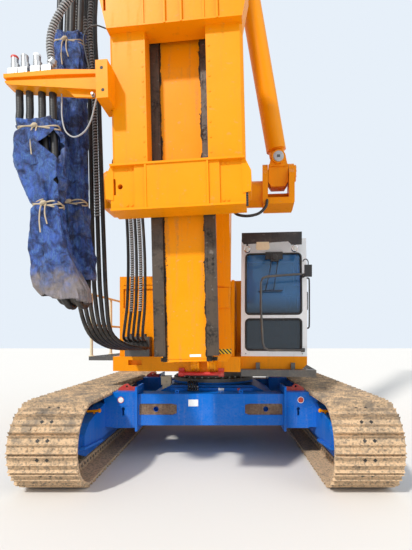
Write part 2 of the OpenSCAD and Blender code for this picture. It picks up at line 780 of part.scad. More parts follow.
head_y = 3600;
head_z = 750;
head_back = 2000;
module mast_head() {
    color(yellow) on_mast() {
        block([-rail_span / 2, -box_front, mast_top], [rail_span / 2, -mast_back + 40, mast_top + 50]);
        both() plate_x(140, 175) difference() {
            polygon([[-box_front, mast_top + 50], [-mast_back, mast_top + 50],
                [-head_back + 130, mast_top + head_z - 150], [-head_back + 130, mast_top + head_z + 80],
                [-head_y - 120, mast_top + head_z + 80], [-head_y - 120, mast_top + head_z - 120]]);
            translate([-2750, mast_top + 450]) circle(140);
        }
        for (y = [-2950, -2500]) block([-140, y, mast_top + 500], [140, y + 60, mast_top + 800]);
        for (y = [head_y, head_back]) rod_x(-175, 175, -y, mast_top + head_z, 55);
    }
}

// A grooved rope sheave on the X axis
module sheave_x(r, w) {
    rotate([0, 90, 0]) rotate_extrude($fn = 64)
        polygon([[55.05, -w / 2], [r, -w / 2], [r - 45, -12], [r - 45, 12], [r, w / 2], [55.05, w / 2]]);
}

module front_sheave() {
    color(steel) on_mast() translate([0, -head_y, mast_top + head_z]) sheave_x(sheave_r, 110);
}

module rear_sheave() {
    color(steel) on_mast() translate([0, -head_back, mast_top + head_z]) sheave_x(sheave_r, 110);
}

aux_y = 1880;
aux_z = 10000;
module aux_drum() {
    color(dark) on_mast() translate([0, -aux_y, aux_z]) rotate([0, 90, 0]) difference() {
        union() {
            cylinder(h = 380, r = 130, center = true);
            for (z = [-190, 160]) translate([0, 0, z]) cylinder(h = 30, r = 220);
        }
        cylinder(h = 500, r = 40.05, center = true);
    }
}

// Plan of the lower member's front, from its middle: x, ahead of the frame
low_plan = [[0, 90], [294, 90], [296, 98], [314, 98], [316, 80], [420, 80], [424, 60], [668, 60]];
drive_pin_x = -570;
drive_pin_z = 246;
drive_pin_r = 26;
module sledge() {
    x = sledge_w / 2;
    f = -sledge_front;
    b = f + sledge_t;
    low_top = window_z - 10;
    up_z = window_z + window_h + 30;
    flare = 65;
    color(yellow) on_mast() {
        difference() {
            union() {
                // Columns with chamfered outer edges
                both() translate([0, 0, low_top - 5]) linear_extrude(sledge_top - low_top + 5)
                    polygon([[window_w / 2, f], [x - 28, f], [x, f + 28], [x, b], [window_w / 2, b]]);
                // Lower member: stepped plates between two flanges, an ear at each end
                translate([0, 0, sledge_z]) linear_extrude(low_top - sledge_z)
                    polygon(concat([for (p = low_plan) [p[0], f - p[1]]], [[668, b], [-668, b]],
                        [for (i = [len(low_plan) - 1:-1:1]) [-low_plan[i][0], f - low_plan[i][1]]]));
                for (z = [sledge_z, low_top - 20]) block([-660, f - 102, z], [660, b, z + 20]);
                both() plate_y(f - 66, b + 20) polygon([[630, low_top], [662, low_top], [724, low_top - 130],
                    [718, low_top - 330], [640, low_top - 345]]);
                // Upper member, wider towards its top, with ribs
                plate_y(f - 60, b) polygon([[-x, up_z], [x, up_z], [x + flare, up_z + 300],
                    [x + flare, sledge_top - 420], [x, sledge_top - 250], [-x, sledge_top - 250],
                    [-x - flare, sledge_top - 420], [-x - flare, up_z + 300]]);
                for (rx = [-84, 81, 433]) block([rx - 9, f - 85, up_z], [rx + 9, f, sledge_top - 300]);
                for (rx = [-300, 300]) block([rx - 9, f - 70, up_z], [rx + 9, f, sledge_top - 300]);
                block([-x, f - 78, up_z], [x, f, up_z + 14]);
                // Ears that carry the top of the drive
                both() for (x1 = [470, 590]) plate_x(x1, x1 + 35) polygon([[f + 1, sledge_top - 560],
                    [f - 200, sledge_top - 470], [f - 260, sledge_top - 380], [f - 220, sledge_top - 300],
                    [f + 1, sledge_top - 255]]);
            }
            block([-window_w / 2, f - 110, window_z], [window_w / 2, b + 1, window_z + window_h]);
            rod_y(f - 110, b + 1, drive_pin_x, sledge_z + drive_pin_z, drive_pin_r);
            plate_y(f - 110, b + 1) polygon(rounded([drive_pin_x - 67, sledge_z + 164],
                [drive_pin_x - 45, sledge_z + 328], 10));
            both() rod_x(460, 640, f - 195, sledge_top - 385, 35);
            block([-x - 30, f - 130, up_z + 190], [-x - 5, b + 1, up_z + 330]);
        }
    }
}

// Guide shoes that hold the sledge on the rails
module sledge_shoes() {
    x = rail_span / 2;
    b = -sledge_front + sledge_t;
    color(dark) on_mast() both() for (z = [sledge_z + 60, sledge_top - 460]) difference() {
        block([mast_w / 2 + 30, b, z], [x + 90, -mast_front + rail_t + 60, z + 400]);
        block([mast_w / 2 + 20, -mast_front - slide_gap, z - 1],
            [x + slide_gap, -box_front + slide_gap, z + 401]);
    }
}

arm_z = 4310;
arm_top = 205;
arm_root = -735;
arm_tip = -1745;
// Underside of the arm at an x, above arm_z
function arm_under(x) = -35 + 130 * (arm_root - x) / (arm_root - arm_tip - 60);
module hose_arm() {
    x = sledge_w / 2;
    f = -sledge_front;
    in = arm_root + 6;
    color(yellow) on_mast() {
        // Bracket in front of the left column
        block([arm_root, f - 200, arm_z - 200], [-617, f - fit, arm_z + 165]);
        block([arm_root, f - 10, arm_z - 200], [-x - fit, f + 120, arm_z + 165]);
        // Arm: web, lip under the groove, top flange, gusset at the root
        plate_y(f - 40, f + 90) polygon([[in, arm_z - 35], [arm_tip + 60, arm_z + 95], [arm_tip, arm_z + 120],
            [arm_tip, arm_z + 190], [in, arm_z + 150]]);
        plate_y(f - 66, f + 95) polygon([[in, arm_z - 34], [arm_tip + 55, arm_z + 96],
            [arm_tip + 2, arm_z + 121], [arm_tip + 2, arm_z + 138], [in, arm_z + 92]]);
        plate_y(f - 72, f + 110) polygon([[in, arm_z + 126], [-1180, arm_z + 152], [arm_tip - 8, arm_z + 166],
            [arm_tip - 8, arm_z + arm_top], [-1180, arm_z + arm_top], [in, arm_z + 163]]);
        plate_y(f - 30, f - 10) polygon([[in, arm_z - 90], [-1030, arm_z - 60], [-1120, arm_z + 30],
            [in, arm_z + 30]]);
    }
}

coupling_x = [-1655, -1545, -1412, -1295];
coupling_y = -2960;
module couplings() {
    color(silver) on_mast() for (i = [0:3])
        translate([coupling_x[i] - 38, coupling_y, arm_z + arm_top + fit]) {
            block([-50, -58, 0], [50, 58, 95]);
            rod_y(-68, -57, 4, 42, 21);
            if (i < 3) {
                translate([0, 0, 94]) cylinder(h = 70, r = 44);
                translate([-5, 0, 150]) cylinder(h = 75, r = 36);
            } else translate([6, 0, 80]) rotate([0, 28, 0]) {
                cylinder(h = 110, r = 38);
                translate([0, 0, 60]) cylinder(h = 22, r = 50);
            }
        }
}

module tank() {
    color(yellow) on_upper() difference() {
        union() {
            block([-1350, -950, deck_top], [-750, 500, 2750]);
            block([-1290, -962, 2620], [-810, -940, 2700]);
            translate([-900, 200, 2749]) cylinder(h = 60, r = 70);
            for (y = [-700, -200, 300]) block([-1358, y, deck_top + 60], [-1340, y + 60, 2700]);
        }
        block([-1290, -960, 2260], [-810, -925, 2560]);
    }
}

module valve_block() {
    color(steel) on_upper() {
        block([-1220, -1090, deck_top + fit], [-840, -960, deck_top + 300]);
        for (i = [0:5]) rod_y(-1150, -1089, -860 - i * hose_step, deck_top + 130, 22);
        for (i = [0:4]) rod_y(-1125, -1089, -900 - i * 66, deck_top + 235, 26);
        for (i = [0:2]) translate([-1150 + i * 110, -1025, deck_top + 299]) cylinder(h = 45, r = 30);
    }
}

module engine_house() {
    color(yellow) on_upper() {
        difference() {
            translate([0, 0, deck_top]) linear_extrude(house_top - deck_top)
                polygon(house_plan(0));
            translate([0, 0, deck_top - 1]) linear_extrude(house_top - deck_top - house_wall + 1)
                polygon(house_plan(house_wall));
            block([-deck_left - 1, left_door[0], door_low],
                [-deck_left + house_wall + 1, left_door[1], door_high]);
            block([cab_out - house_wall - 1, right_door[0], door_low],
                [cab_out + 1, right_door[1], door_high]);
        }
        for (x = [-1100, -500, 100]) block([x, house_y + 150, house_top - 1], [x + 60, weight_y - 150,
            house_top + 18]);
        translate([-250, 1500, house_top - 1]) difference() {
            cylinder(h = 260, r = 65);
            translate([0, 0, 20]) cylinder(h = 300, r = 55);
        }
        at_left_hinge() frame_knuckles(-1, house_knuckles);
        at_right_hinge() frame_knuckles(1, house_knuckles);
    }
}

// Plan of the engine house, moved in by d
function house_plan(d) = [[-deck_left + d, house_y + d], [cab_x - 30 - d, house_y + d],
    [cab_x - 30 - d, cab_back + 100 + d], [cab_out - d, cab_back + 100 + d],
    [cab_out - d, weight_y - d], [-deck_left + d, weight_y - d]];
left_door = [900, 2100];
right_door = [1150, 2500];
door_low = deck_top + 90;
door_high = house_top - 130;
door_gap = 6;

// Hinge axis at the origin, outer skin 15 mm inside it, door towards -Y
hinge_out = 15;
module door_knuckles(side, heights) {
    for (z = heights) difference() {
        union() {
            translate([0, 0, z]) cylinder(h = 60, r = 14);
            block([side > 0 ? -hinge_out - 1 : 2, -50, z], [side > 0 ? -2 : hinge_out + 1, 0, z + 60]);
        }
        translate([0, 0, z - 1]) cylinder(h = 62, r = 8.05);
    }
}

module frame_knuckles(side, heights) {
    for (z = heights) {
        translate([0, 0, z - 40]) cylinder(h = 140, r = 8);
        for (z1 = [z - 40, z + 60 + fit]) {
            translate([0, 0, z1]) cylinder(h = 40 - fit, r = 14);
            block([side > 0 ? -hinge_out - 1 : 2, 0, z1],
                [side > 0 ? -2 : hinge_out + 1, 50, z1 + 40 - fit]);
        }
    }
}

module house_door(x, ends) {
    h = door_high - door_low - 2 * door_gap;
    difference() {
        block([x, ends[0] + door_gap, door_low + door_gap],
            [x + house_wall, ends[1] - door_gap, door_high - door_gap]);
        for (i = [0:7]) block([x - 1, ends[0] + 250, door_low + h * 0.35 + i * 75],
            [x + house_wall + 1, ends[1] - 250, door_low + h * 0.35 + i * 75 + 30]);
    }
}

house_knuckles = [door_low + 120, door_high - 200];
cab_knuckles = [cab_floor + 200, cab_top - 400];

module at_left_hinge() {
    translate([-deck_left - hinge_out, left_door[1], 0]) children();
}

module at_right_hinge() {
    translate([cab_out + hinge_out, right_door[1], 0]) children();
}

module at_cab_hinge() {
    translate([cab_out + hinge_out, cab_door_y[1], 0]) children();
}

module house_door_left() {
    color(yellow) on_upper() {
        house_door(-deck_left, left_door);
        at_left_hinge() door_knuckles(-1, house_knuckles);
    }
}

module house_door_right() {
    color(yellow) on_upper() {
        house_door(cab_out - house_wall, right_door);
        at_right_hinge() door_knuckles(1, house_knuckles);
    }
}

module engine() {
    color(dark) on_upper() block([-900, 1300, deck_top + fit], [700, 2200, 2500]);
}

module counterweight() {
    color(yellow) on_upper() difference() {
        intersection() {
            block([-deck_left, weight_y + fit, deck_z - 60], [cab_out, tail_r + 10, 2500]);
            cylinder(h = 4000, r = tail_r, $fn = 180);
        }
        // Joints between its three slabs, lifting pockets
        for (z = [1680, 2100]) difference() {
            block([-deck_left - 1, weight_y, z], [cab_out + 1, tail_r + 20, z + 14]);
            translate([0, 0, z - 1]) cylinder(h = 20, r = tail_r - 12, $fn = 180);
        }
        for (x = [-900, 900]) block([x - 90, weight_y + 350, 2380], [x + 90, weight_y + 470, 2501]);
    }
}

module winch_frame() {
    color(yellow) on_upper() {
        both() plate_x(340, 370) polygon([[-180, deck_top], [480, deck_top], [330, 2100],
            [150, 2250], [-30, 2100]]);
        rod_x(-370, 370, 150, 1930, 60);
    }
}

module main_drum() {
    color(dark) on_upper() translate([0, 150, 1930]) rotate([0, 90, 0]) difference() {
        union() {
            cylinder(h = 620, r = 210, center = true);
            for (z = [-330, 290]) translate([0, 0, z]) cylinder(h = 40, r = 300);
        }
        cylinder(h = 800, r = 60.05, center = true);
    }
}

module front_bar() {
    y = -deck_front - 42;
    z = deck_z - 25;
    color(red) on_upper() {
        rod_x(-330, 240, y, z, 28);
        for (x = [-380, 210]) {
            rod_x(x, x + 80, y, z, 42);
            block([x, y, z + 20], [x + 80, -deck_front - fit, z + 80]);
        }
    }
}

module walkways() {
    step_z = deck_z - 65;
    color(steel) on_upper() {
        block([cab_x + 10, -cab_front - 190, step_z], [cab_out + 110, -cab_front - fit, step_z + 100]);
        block([cab_out + fit, -cab_front - 30, step_z], [cab_out + 110, cab_back, step_z + 100]);
        // Feet of the step in front of the band
        for (x = [cab_x + 225, cab_x + 745]) block([x, -cab_front - 70, step_z + 99],
            [x + 60, -cab_front - fit, step_z + 195]);
        block([-deck_left - 380, -deck_front, deck_top - 60], [-deck_left - fit, 500, deck_top]);
        for (y = [-deck_front + 30, -300, 470]) translate([-deck_left - 350, y, deck_top])
            cylinder(h = 940, r = 20);
        for (z = [deck_top + 480, deck_top + 950])
            rod_y(-deck_front + 5, 495, -deck_left - 350, z, 16);
    }
}

// Side outline of the cab, moved in by d
cab_rake = 120;
cab_brow = cab_floor + 800;
function cab_side(d) = [[-cab_front + d, cab_floor + d], [-cab_front + d, cab_brow],
    [-cab_front + cab_rake + d, cab_top - d], [cab_back - d, cab_top - d],
    [cab_back - d, cab_floor + d]];
cab_door_y = [-650, 250];
cab_door_z = [cab_floor + 60, cab_top - 120];
door_window = [[cab_out - cab_wall - 1, cab_door_y[0] + 80, cab_door_z[0] + 650],
    [cab_out + 1, cab_door_y[1] - 80, cab_door_z[1] - 80]];

// Windows of the cab: low corner, high corner; the third is in the side wall
cab_windows = [
    [[cab_x + 75, -cab_front - 10, cab_floor + 640], [cab_out - 85, -cab_front + 330, cab_top - 240]],
    [[cab_x + 75, -cab_front - 10, cab_floor + 95], [cab_out - 85, -cab_front + 60, cab_floor + 560]],
    [[cab_x - 1, -cab_front + 250, cab_floor + 700],
        [cab_x + cab_wall + 1, cab_back - 250, cab_top - 200]],
    [[cab_x + 150, cab_back - cab_wall - 1, cab_floor + 800],
        [cab_out - 150, cab_back + 1, cab_top - 200]]];
window_r = 55;

module window_hole(i, gap) {
    a = cab_windows[i][0];
    b = cab_windows[i][1];
    if (i == 2) plate_x(a[0], b[0])
        polygon(rounded([a[1] + gap, a[2] + gap], [b[1] - gap, b[2] - gap], window_r - gap));
    else plate_y(a[1], b[1])
        polygon(rounded([a[0] + gap, a[2] + gap], [b[0] - gap, b[2] - gap], window_r - gap));
}

module cab_shell() {
    color(white) on_upper() {
        difference() {
            plate_x(cab_x, cab_out) polygon(cab_side(0));
            plate_x(cab_x + cab_wall, cab_out - cab_wall) polygon(cab_side(cab_wall));
            for (i = [0:3]) window_hole(i, 0);
            block([cab_out - cab_wall - 1, cab_door_y[0], cab_door_z[0]],
                [cab_out + 1, cab_door_y[1], cab_door_z[1]]);
        }
        at_cab_hinge() frame_knuckles(1, cab_knuckles);
    }
}

module cab_door() {
    g = door_gap;
    color(white) on_upper() {
        difference() {
            block([cab_out - cab_wall, cab_door_y[0] + g, cab_door_z[0] + g],
                [cab_out, cab_door_y[1] - g, cab_door_z[1] - g]);
            block(door_window[0], door_window[1]);
        }
        at_cab_hinge() door_knuckles(1, cab_knuckles);
    }
}

glass_in = 12;
glass_t = 10;
module cab_glass() {
    color([0.5, 0.7, 0.85]) on_upper() intersection() {
        difference() {
            plate_x(cab_x + glass_in, cab_out - glass_in) polygon(cab_side(glass_in));
            plate_x(cab_x + glass_in + glass_t, cab_out - glass_in - glass_t)
                polygon(cab_side(glass_in + glass_t));
        }
        for (i = [0:3]) window_hole(i, fit);
    }
}

module door_glass() {
    f = [0, fit, fit];
    color([0.5, 0.7, 0.85]) on_upper() intersection() {
        block(door_window[0] + f, door_window[1] - f);
        block([cab_out - glass_in - glass_t, -2000, 0], [cab_out - glass_in, 2000, 9000]);
    }
}

module cab_seat() {
    low = cab_floor + cab_wall + fit;
    mid = (cab_x + cab_out) / 2;
    color(dark) on_upper() {
        block([mid - 200, -150, low], [mid + 200, 250, low + 250]);
        plate_x(mid - 250, mid + 250) polygon([[-260, low + 260], [-230, low + 400], [200, low + 420],
            [260, low + 1100], [330, low + 1110], [340, low + 249], [-200, low + 249]]);
        for (x = [mid - 320, mid + 250 - 1]) block([x, -200, low + 200], [x + 71, 200, low + 560]);
    }
}

module cab_guard() {
    z = cab_top + fit;
    front = -cab_front - 95;
    x1 = cab_x + 15;
    x2 = cab_out - 90;
    color(dark) on_upper() {
        for (x = [x1, x2 - 40]) block([x, front - 5, z], [x + 40, cab_back - 150, z + 35]);
        block([x1, cab_back - 190, z], [x2, cab_back - 150, z + 35]);
        for (i = [0:9]) block([x1 + 39, front + 45 + i * 150, z + 6],
            [x2 - 39, front + 75 + i * 150, z + 30]);
        // Valance with its two lamps
        plate_y(front - 25, front) polygon([[x1, z + 35], [x1, z - 90], [x1 + 30, z - 130],
            [x2 - 200, z - 100], [x2 - 150, z - 150], [x2, z - 150], [x2, z + 35]]);
        for (x = [x1 + 82, x2 - 105]) {
            block([x - 14, front - 20, z - 200], [x + 14, front - 4, z - 90]);
            rod_y(front - 50, front + 25, x, z - 212, 44);
        }
    }
}

// Bent guard rail in front of the windscreen
rail_top = 2740;
rail_low = 1620;
rail_y = -cab_front - 130;
rail_x1 = cab_x + 300;
rail_x2 = cab_out - 65;
rail_top_y = -cab_front + cab_rake * (rail_top - cab_brow) / (cab_top - cab_brow);
module cab_rail() {
    color(steel) on_upper() tube([[rail_x2, rail_top_y - 3, rail_top],
        [rail_x2, rail_y + 40, rail_top], [rail_x2 - 20, rail_y, rail_top],
        [rail_x1 + 90, rail_y, rail_top - 30], [rail_x1 + 25, rail_y, rail_top - 55],
        [rail_x1, rail_y, rail_top - 120], [rail_x1, rail_y, rail_top - 500],
        [rail_x1 + 30, rail_y, rail_low + 110], [rail_x1 + 55, rail_y, rail_low + 35],
        [rail_x1 + 120, rail_y, rail_low], [rail_x2 - 20, rail_y, rail_low],
        [rail_x2, rail_y + 40, rail_low], [rail_x2, -cab_front - fit, rail_low]], 17, 10);
}

// Hoses of the sledge hang from the coupling arm and climb to the mast
hose_r = 37;
mast_hose_r = 26;
hose_z = 9400;
hose_step = 58;

// Frame of a route at point i, as [side, up] vectors
function unit(v) = v / norm(v);
function route_dir(p, i) = unit(p[min(i + 1, len(p) - 1)] - p[max(i - 1, 0)]);
function ring_side(d) = unit(cross(d, abs(d[0]) > 0.7 ? [0, 1, 0] : [1, 0, 0]));

module tube(points, r, sides = 8) {
    n = len(points);
    rings = [for (i = [0:n - 1]) let (d = route_dir(points, i), u = ring_side(d), v = cross(d, u))
        for (k = [0:sides - 1]) points[i] + r * (cos(k * 360 / sides) * u + sin(k * 360 / sides) * v)];
    faces = concat([[for (k = [0:sides - 1]) k]],
        [for (i = [0:n - 2]) for (k = [0:sides - 1]) let (a = i * sides + k,
            b = i * sides + (k + 1) % sides) [a, a + sides, b + sides, b]],
        [[for (k = [sides - 1:-1:0]) (n - 1) * sides + k]]);
    polyhedron(points = rings, faces = faces);
}

// Front legs of the loops, which travel with the sledge
loop_y = -2760;
function loop_x(x) = -1400 + (x + 1400) * 0.72;
module sledge_hoses() {
    color(dark) on_mast() for (x = coupling_x) {
        x2 = loop_x(x);
        tube([[x, coupling_y, arm_z + arm_under(x + hose_r) - 1], [x, coupling_y, 4000],
            [(x + x2) / 2, coupling_y, 3300],
            [x2, -2940, 2600], [x2, -2890, 2300], [x2, loop_y - 60, 2200],
            [x2, loop_y - 5, 2190], [x2, loop_y - fit / 2, 2190]], hose_r);
    }
}

// Rear legs of the loops, which hang from the bracket on the mast
module loop_hoses() {
    color(dark) on_mast() for (x = coupling_x) {
        x2 = loop_x(x);
        tube([[x2, loop_y + fit / 2, 2190], [x2, loop_y + 5, 2190], [x2, loop_y + 60, 2200],
            [x2 + 30, -2630, 2300], [x2 + 110, -2580, 2650], [x2 + 120, -2560, 3600],
            [x2 + 130, -2540, 5200], [x2 + 200, -2520, 7000], [x2 + 340, -2500, 8600],
            [x2 + 500, -2480, hose_z - 200], [x2 + 500, -2480, hose_z - fit]], hose_r);
    }
}

module mast_hoses() {
    color(dark) on_mast() for (i = [0:5]) {
        x = -i * hose_step;
        tube([[-600 + x, -2300, hose_z - fit], [-600 + x, -2300, hose_z - 200], [-700 + x, -2290, 8000],
            [-1090 + x, -2280, 6000], [-1095 + x, -2260, 4600], [-1085 + 1.2 * x, -2240, 2900],
            [-1090 + 1.2 * x, -2190, 2290], [-1110 + x, -2020, 1900], [-1030 + x, -1700, 1730],
            [-910 + x, -1450, 1680],
            mast_point([-860 + x, -1250, deck_top + 130]),
            mast_point([-860 + x, -1150 - fit, deck_top + 130])], mast_hose_r);
    }
}

module tarp_front() {
    color([0.35, 0.55, 0.85]) on_mast() block([-1690, -3040, 2235], [-1200, -2835, 4060]);
}

module tarp_rear() {
    color([0.35, 0.55, 0.85]) on_mast() block([-1500, -2640, 2500], [-1110, -2490, 5250]);
}

module track_frame_right() {
    color(blue) track_frame_right_body();
}

module track_frame_left() {
    color(blue) mirror([1, 0, 0]) track_frame_right_body();
}

module frame_hooks_right() {
    color(red) frame_hooks_right_body();
}

module frame_hooks_left() {
    color(red) mirror([1, 0, 0]) frame_hooks_right_body();
}

car_body();
crossbeams();
slew_ring();
track_frame_left();
track_frame_right();
track(-track_x);  // track_left
track(track_x);  // track_right
rollers(-track_x);  // rollers_left
rollers(track_x);  // rollers_right
frame_hooks_left();
frame_hooks_right();
platform();
boom_stand();
tank();
valve_block();
engine_house();
engine();
counterweight();
walkways();
winch_frame();
main_drum();
front_bar();
cab_shell();
cab_glass();
cab_seat();
cab_guard();
cab_rail();
cab_door();
door_glass();
house_door_left();
house_door_right();
boom();
tie_links();
lift_barrels();
lift_rods();
saddle();
stay_barrels();
stay_rod(-1);  // stay_rod_left
stay_rod(1);  // stay_rod_right
mast_lower();
mast_upper();
mast_rails();
mast_head();
front_sheave();
rear_sheave();
aux_drum();
sledge();
sledge_shoes();
hose_arm();
couplings();
sledge_hoses();
loop_hoses();
mast_hoses();
tarp_front();
tarp_rear();
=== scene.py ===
import json
from math import atan2, cos, exp, hypot, pi, radians, sin, sqrt

import bmesh
import bpy
import numpy as np
from mathutils import Matrix, Vector, noise


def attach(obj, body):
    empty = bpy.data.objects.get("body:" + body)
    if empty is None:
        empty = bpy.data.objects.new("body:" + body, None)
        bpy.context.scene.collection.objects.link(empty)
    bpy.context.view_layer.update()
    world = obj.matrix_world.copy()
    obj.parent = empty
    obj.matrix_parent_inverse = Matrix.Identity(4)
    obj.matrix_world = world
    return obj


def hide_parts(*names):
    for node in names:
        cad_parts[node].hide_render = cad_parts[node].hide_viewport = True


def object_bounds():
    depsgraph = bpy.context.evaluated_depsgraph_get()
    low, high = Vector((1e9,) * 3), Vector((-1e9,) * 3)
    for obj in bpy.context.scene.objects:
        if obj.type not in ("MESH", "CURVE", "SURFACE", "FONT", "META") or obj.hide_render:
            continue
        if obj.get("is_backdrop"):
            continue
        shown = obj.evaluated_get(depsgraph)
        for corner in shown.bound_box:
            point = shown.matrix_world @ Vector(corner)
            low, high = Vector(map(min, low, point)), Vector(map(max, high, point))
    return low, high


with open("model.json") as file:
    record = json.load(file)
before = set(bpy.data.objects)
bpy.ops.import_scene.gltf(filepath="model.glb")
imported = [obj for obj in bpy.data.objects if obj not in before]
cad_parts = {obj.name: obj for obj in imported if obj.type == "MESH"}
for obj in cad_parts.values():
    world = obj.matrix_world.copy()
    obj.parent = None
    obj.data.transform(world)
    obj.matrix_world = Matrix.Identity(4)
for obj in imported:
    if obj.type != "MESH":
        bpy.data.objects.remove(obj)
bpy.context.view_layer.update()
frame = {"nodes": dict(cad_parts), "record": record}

# Camera: level, looking along +Y, with the horizon low in the picture
IMAGE_LONG = 550
FOCAL_PX = 385
HORIZON_DROP, AXIS_RIGHT = 63, 20
cam_data = bpy.data.cameras.new("camera")
cam_data.sensor_width = 36
cam_data.lens = 36 * FOCAL_PX / IMAGE_LONG
cam_data.shift_x = -AXIS_RIGHT / IMAGE_LONG
cam_data.shift_y = HORIZON_DROP / IMAGE_LONG
camera = bpy.data.objects.new("camera", cam_data)
camera.location = (0.22, -6.8, 1.8)
camera.rotation_euler = (radians(90), 0, 0)
bpy.context.scene.collection.objects.link(camera)
bpy.context.scene.camera = camera
bpy.context.scene.view_settings.view_transform = "Standard"

# The upper carriage's and the mast's own frames, in metres, and the bodies that aren't drawn in the upper's
SLEW, LEAN = radians(-5), radians(1.4)
PIVOT = Vector((0, -2.01, 3.695))
WORLD = Matrix.Identity(4)
UPPER = Matrix.Rotation(SLEW, 4, "Z")
MAST = UPPER @ Matrix.Translation(PIVOT) @ Matrix.Rotation(-LEAN, 4, "Y") @ Matrix.Translation(-PIVOT)
FRAMES = {"undercarriage": WORLD, "side_left": WORLD, "side_right": WORLD, "stay_barrels": WORLD,
          "mast": MAST, "sledge": MAST, "aux_drum": MAST}


def frame_of(body):
    """The frame in which a body's pieces are drawn."""
    return FRAMES.get(body, UPPER)


# Nodes
def new_group(name, inputs, outputs, family="Shader"):
    """A node group with its inputs (name, socket type, default) and outputs (name, socket type)."""
    group = bpy.data.node_groups.new(name, family + "NodeTree")
    for label, kind, default in inputs:
        socket = group.interface.new_socket(label, in_out="INPUT", socket_type="NodeSocket" + kind)
        if default is not None:
            socket.default_value = default
    for label, kind in outputs:
        group.interface.new_socket(label, in_out="OUTPUT", socket_type="NodeSocket" + kind)
    return group, group.nodes.new("NodeGroupInput").outputs, group.nodes.new("NodeGroupOutput")


def node(tree, kind, links=None, family="ShaderNode", **settings):
    """A node with its settings, and its inputs linked or set by name or number."""
    made = tree.nodes.new(family + kind)
    for key, value in settings.items():
        setattr(made, key, value)
    for key, value in (links or {}).items():
        if isinstance(value, bpy.types.NodeSocket):
            tree.links.new(value, made.inputs[key])
        else:
            made.inputs[key].default_value = value
    return made


class Sums:
    """Short calls for the shader nodes that one tree uses most."""

    def __init__(self, tree):
        self.tree, self.where = tree, node(tree, "TexCoord").outputs["Object"]

    def maths(self, operation, a, b=0.0, clamp=False):
        return node(self.tree, "Math", {0: a, 1: b}, operation=operation, use_clamp=clamp).outputs[0]

    def add(self, a, b, clamp=False):
        return self.maths("ADD", a, b, clamp)

    def sub(self, a, b, clamp=False):
        return self.maths("SUBTRACT", a, b, clamp)

    def mul(self, a, b, clamp=False):
        return self.maths("MULTIPLY", a, b, clamp)

    def ramp(self, value, low, high):
        """0 at low, 1 at high, smoothly."""
        return node(self.tree, "MapRange", {"Value": value, "From Min": low, "From Max": high},
                    interpolation_type="SMOOTHSTEP").outputs[0]

    def mix(self, share, a, b):
        return node(self.tree, "Mix", {0: share, 6: a, 7: b}, data_type="RGBA").outputs[2]

    def axis(self, number):
        return node(self.tree, "SeparateXYZ", {0: self.where}).outputs[number]

    def stretched(self, scale, rotation=(0, 0, 0)):
        links = {"Vector": self.where, "Rotation": rotation, "Scale": scale}
        return node(self.tree, "Mapping", links).outputs[0]

    def noise(self, scale, detail, vector=None, **more):
        return node(self.tree, "TexNoise", {"Vector": vector or self.where, "Scale": scale, "Detail": detail,
                                            **more}).outputs[0]

    def bump(self, height, strength, distance):
        links = {"Height": height, "Strength": strength, "Distance": distance}
        return node(self.tree, "Bump", links).outputs[0]

    def join(self, made, links):
        for key, value in links.items():
            self.tree.links.new(value, made.inputs[key])


def build_dirt():
    """Paint or metal with patches of dust that grow towards the ground, streaks and scratches."""
    group, i, out = new_group("site_dirt", [
        ("Colour", "Color", (1, 1, 1, 1)), ("Dust", "Color", (0.62, 0.52, 0.38, 1)),
        ("Amount", "Float", 0.3), ("Ground reach", "Float", 1.0), ("Patch size", "Float", 2.5),
        ("Streaks", "Float", 0.3), ("Roughness", "Float", 0.4), ("Scratches", "Float", 0.2)],
        [("Colour", "Color"), ("Roughness", "Float"), ("Height", "Float")])
    t = Sums(group)
    patches = t.noise(i["Patch size"], 8, Roughness=0.62)
    fine = t.noise(38, 6)
    streaks = t.noise(2.2, 7, t.stretched((9, 9, 0.7)))
    low = t.sub(1.0, t.maths("DIVIDE", t.axis(2), i["Ground reach"]), clamp=True)
    patch = t.ramp(t.add(patches, t.mul(low, 0.35)), 0.42, 0.78)
    streak = t.mul(t.ramp(streaks, 0.52, 0.75), i["Streaks"])
    mask = t.add(t.mul(patch, i["Amount"]), streak)
    mask = t.mul(mask, t.ramp(fine, 0.22, 0.62), clamp=True)
    lines = t.noise(9, 10, t.stretched((1, 14, 3), (0.3, 0.5, 0.2)))
    scratch = t.mul(t.ramp(lines, 0.64, 0.70), i["Scratches"])
    tone = node(group, "HueSaturation", {"Color": i["Colour"],
                                         "Value": t.add(0.86, t.mul(patches, 0.26))}).outputs[0]
    colour = t.mix(scratch, t.mix(mask, tone, i["Dust"]), (0.33, 0.30, 0.27, 1))
    t.join(out, {"Colour": colour, "Roughness": t.add(i["Roughness"], t.mul(mask, 0.45), clamp=True),
                 "Height": t.add(t.mul(fine, 0.5), mask)})
    return group


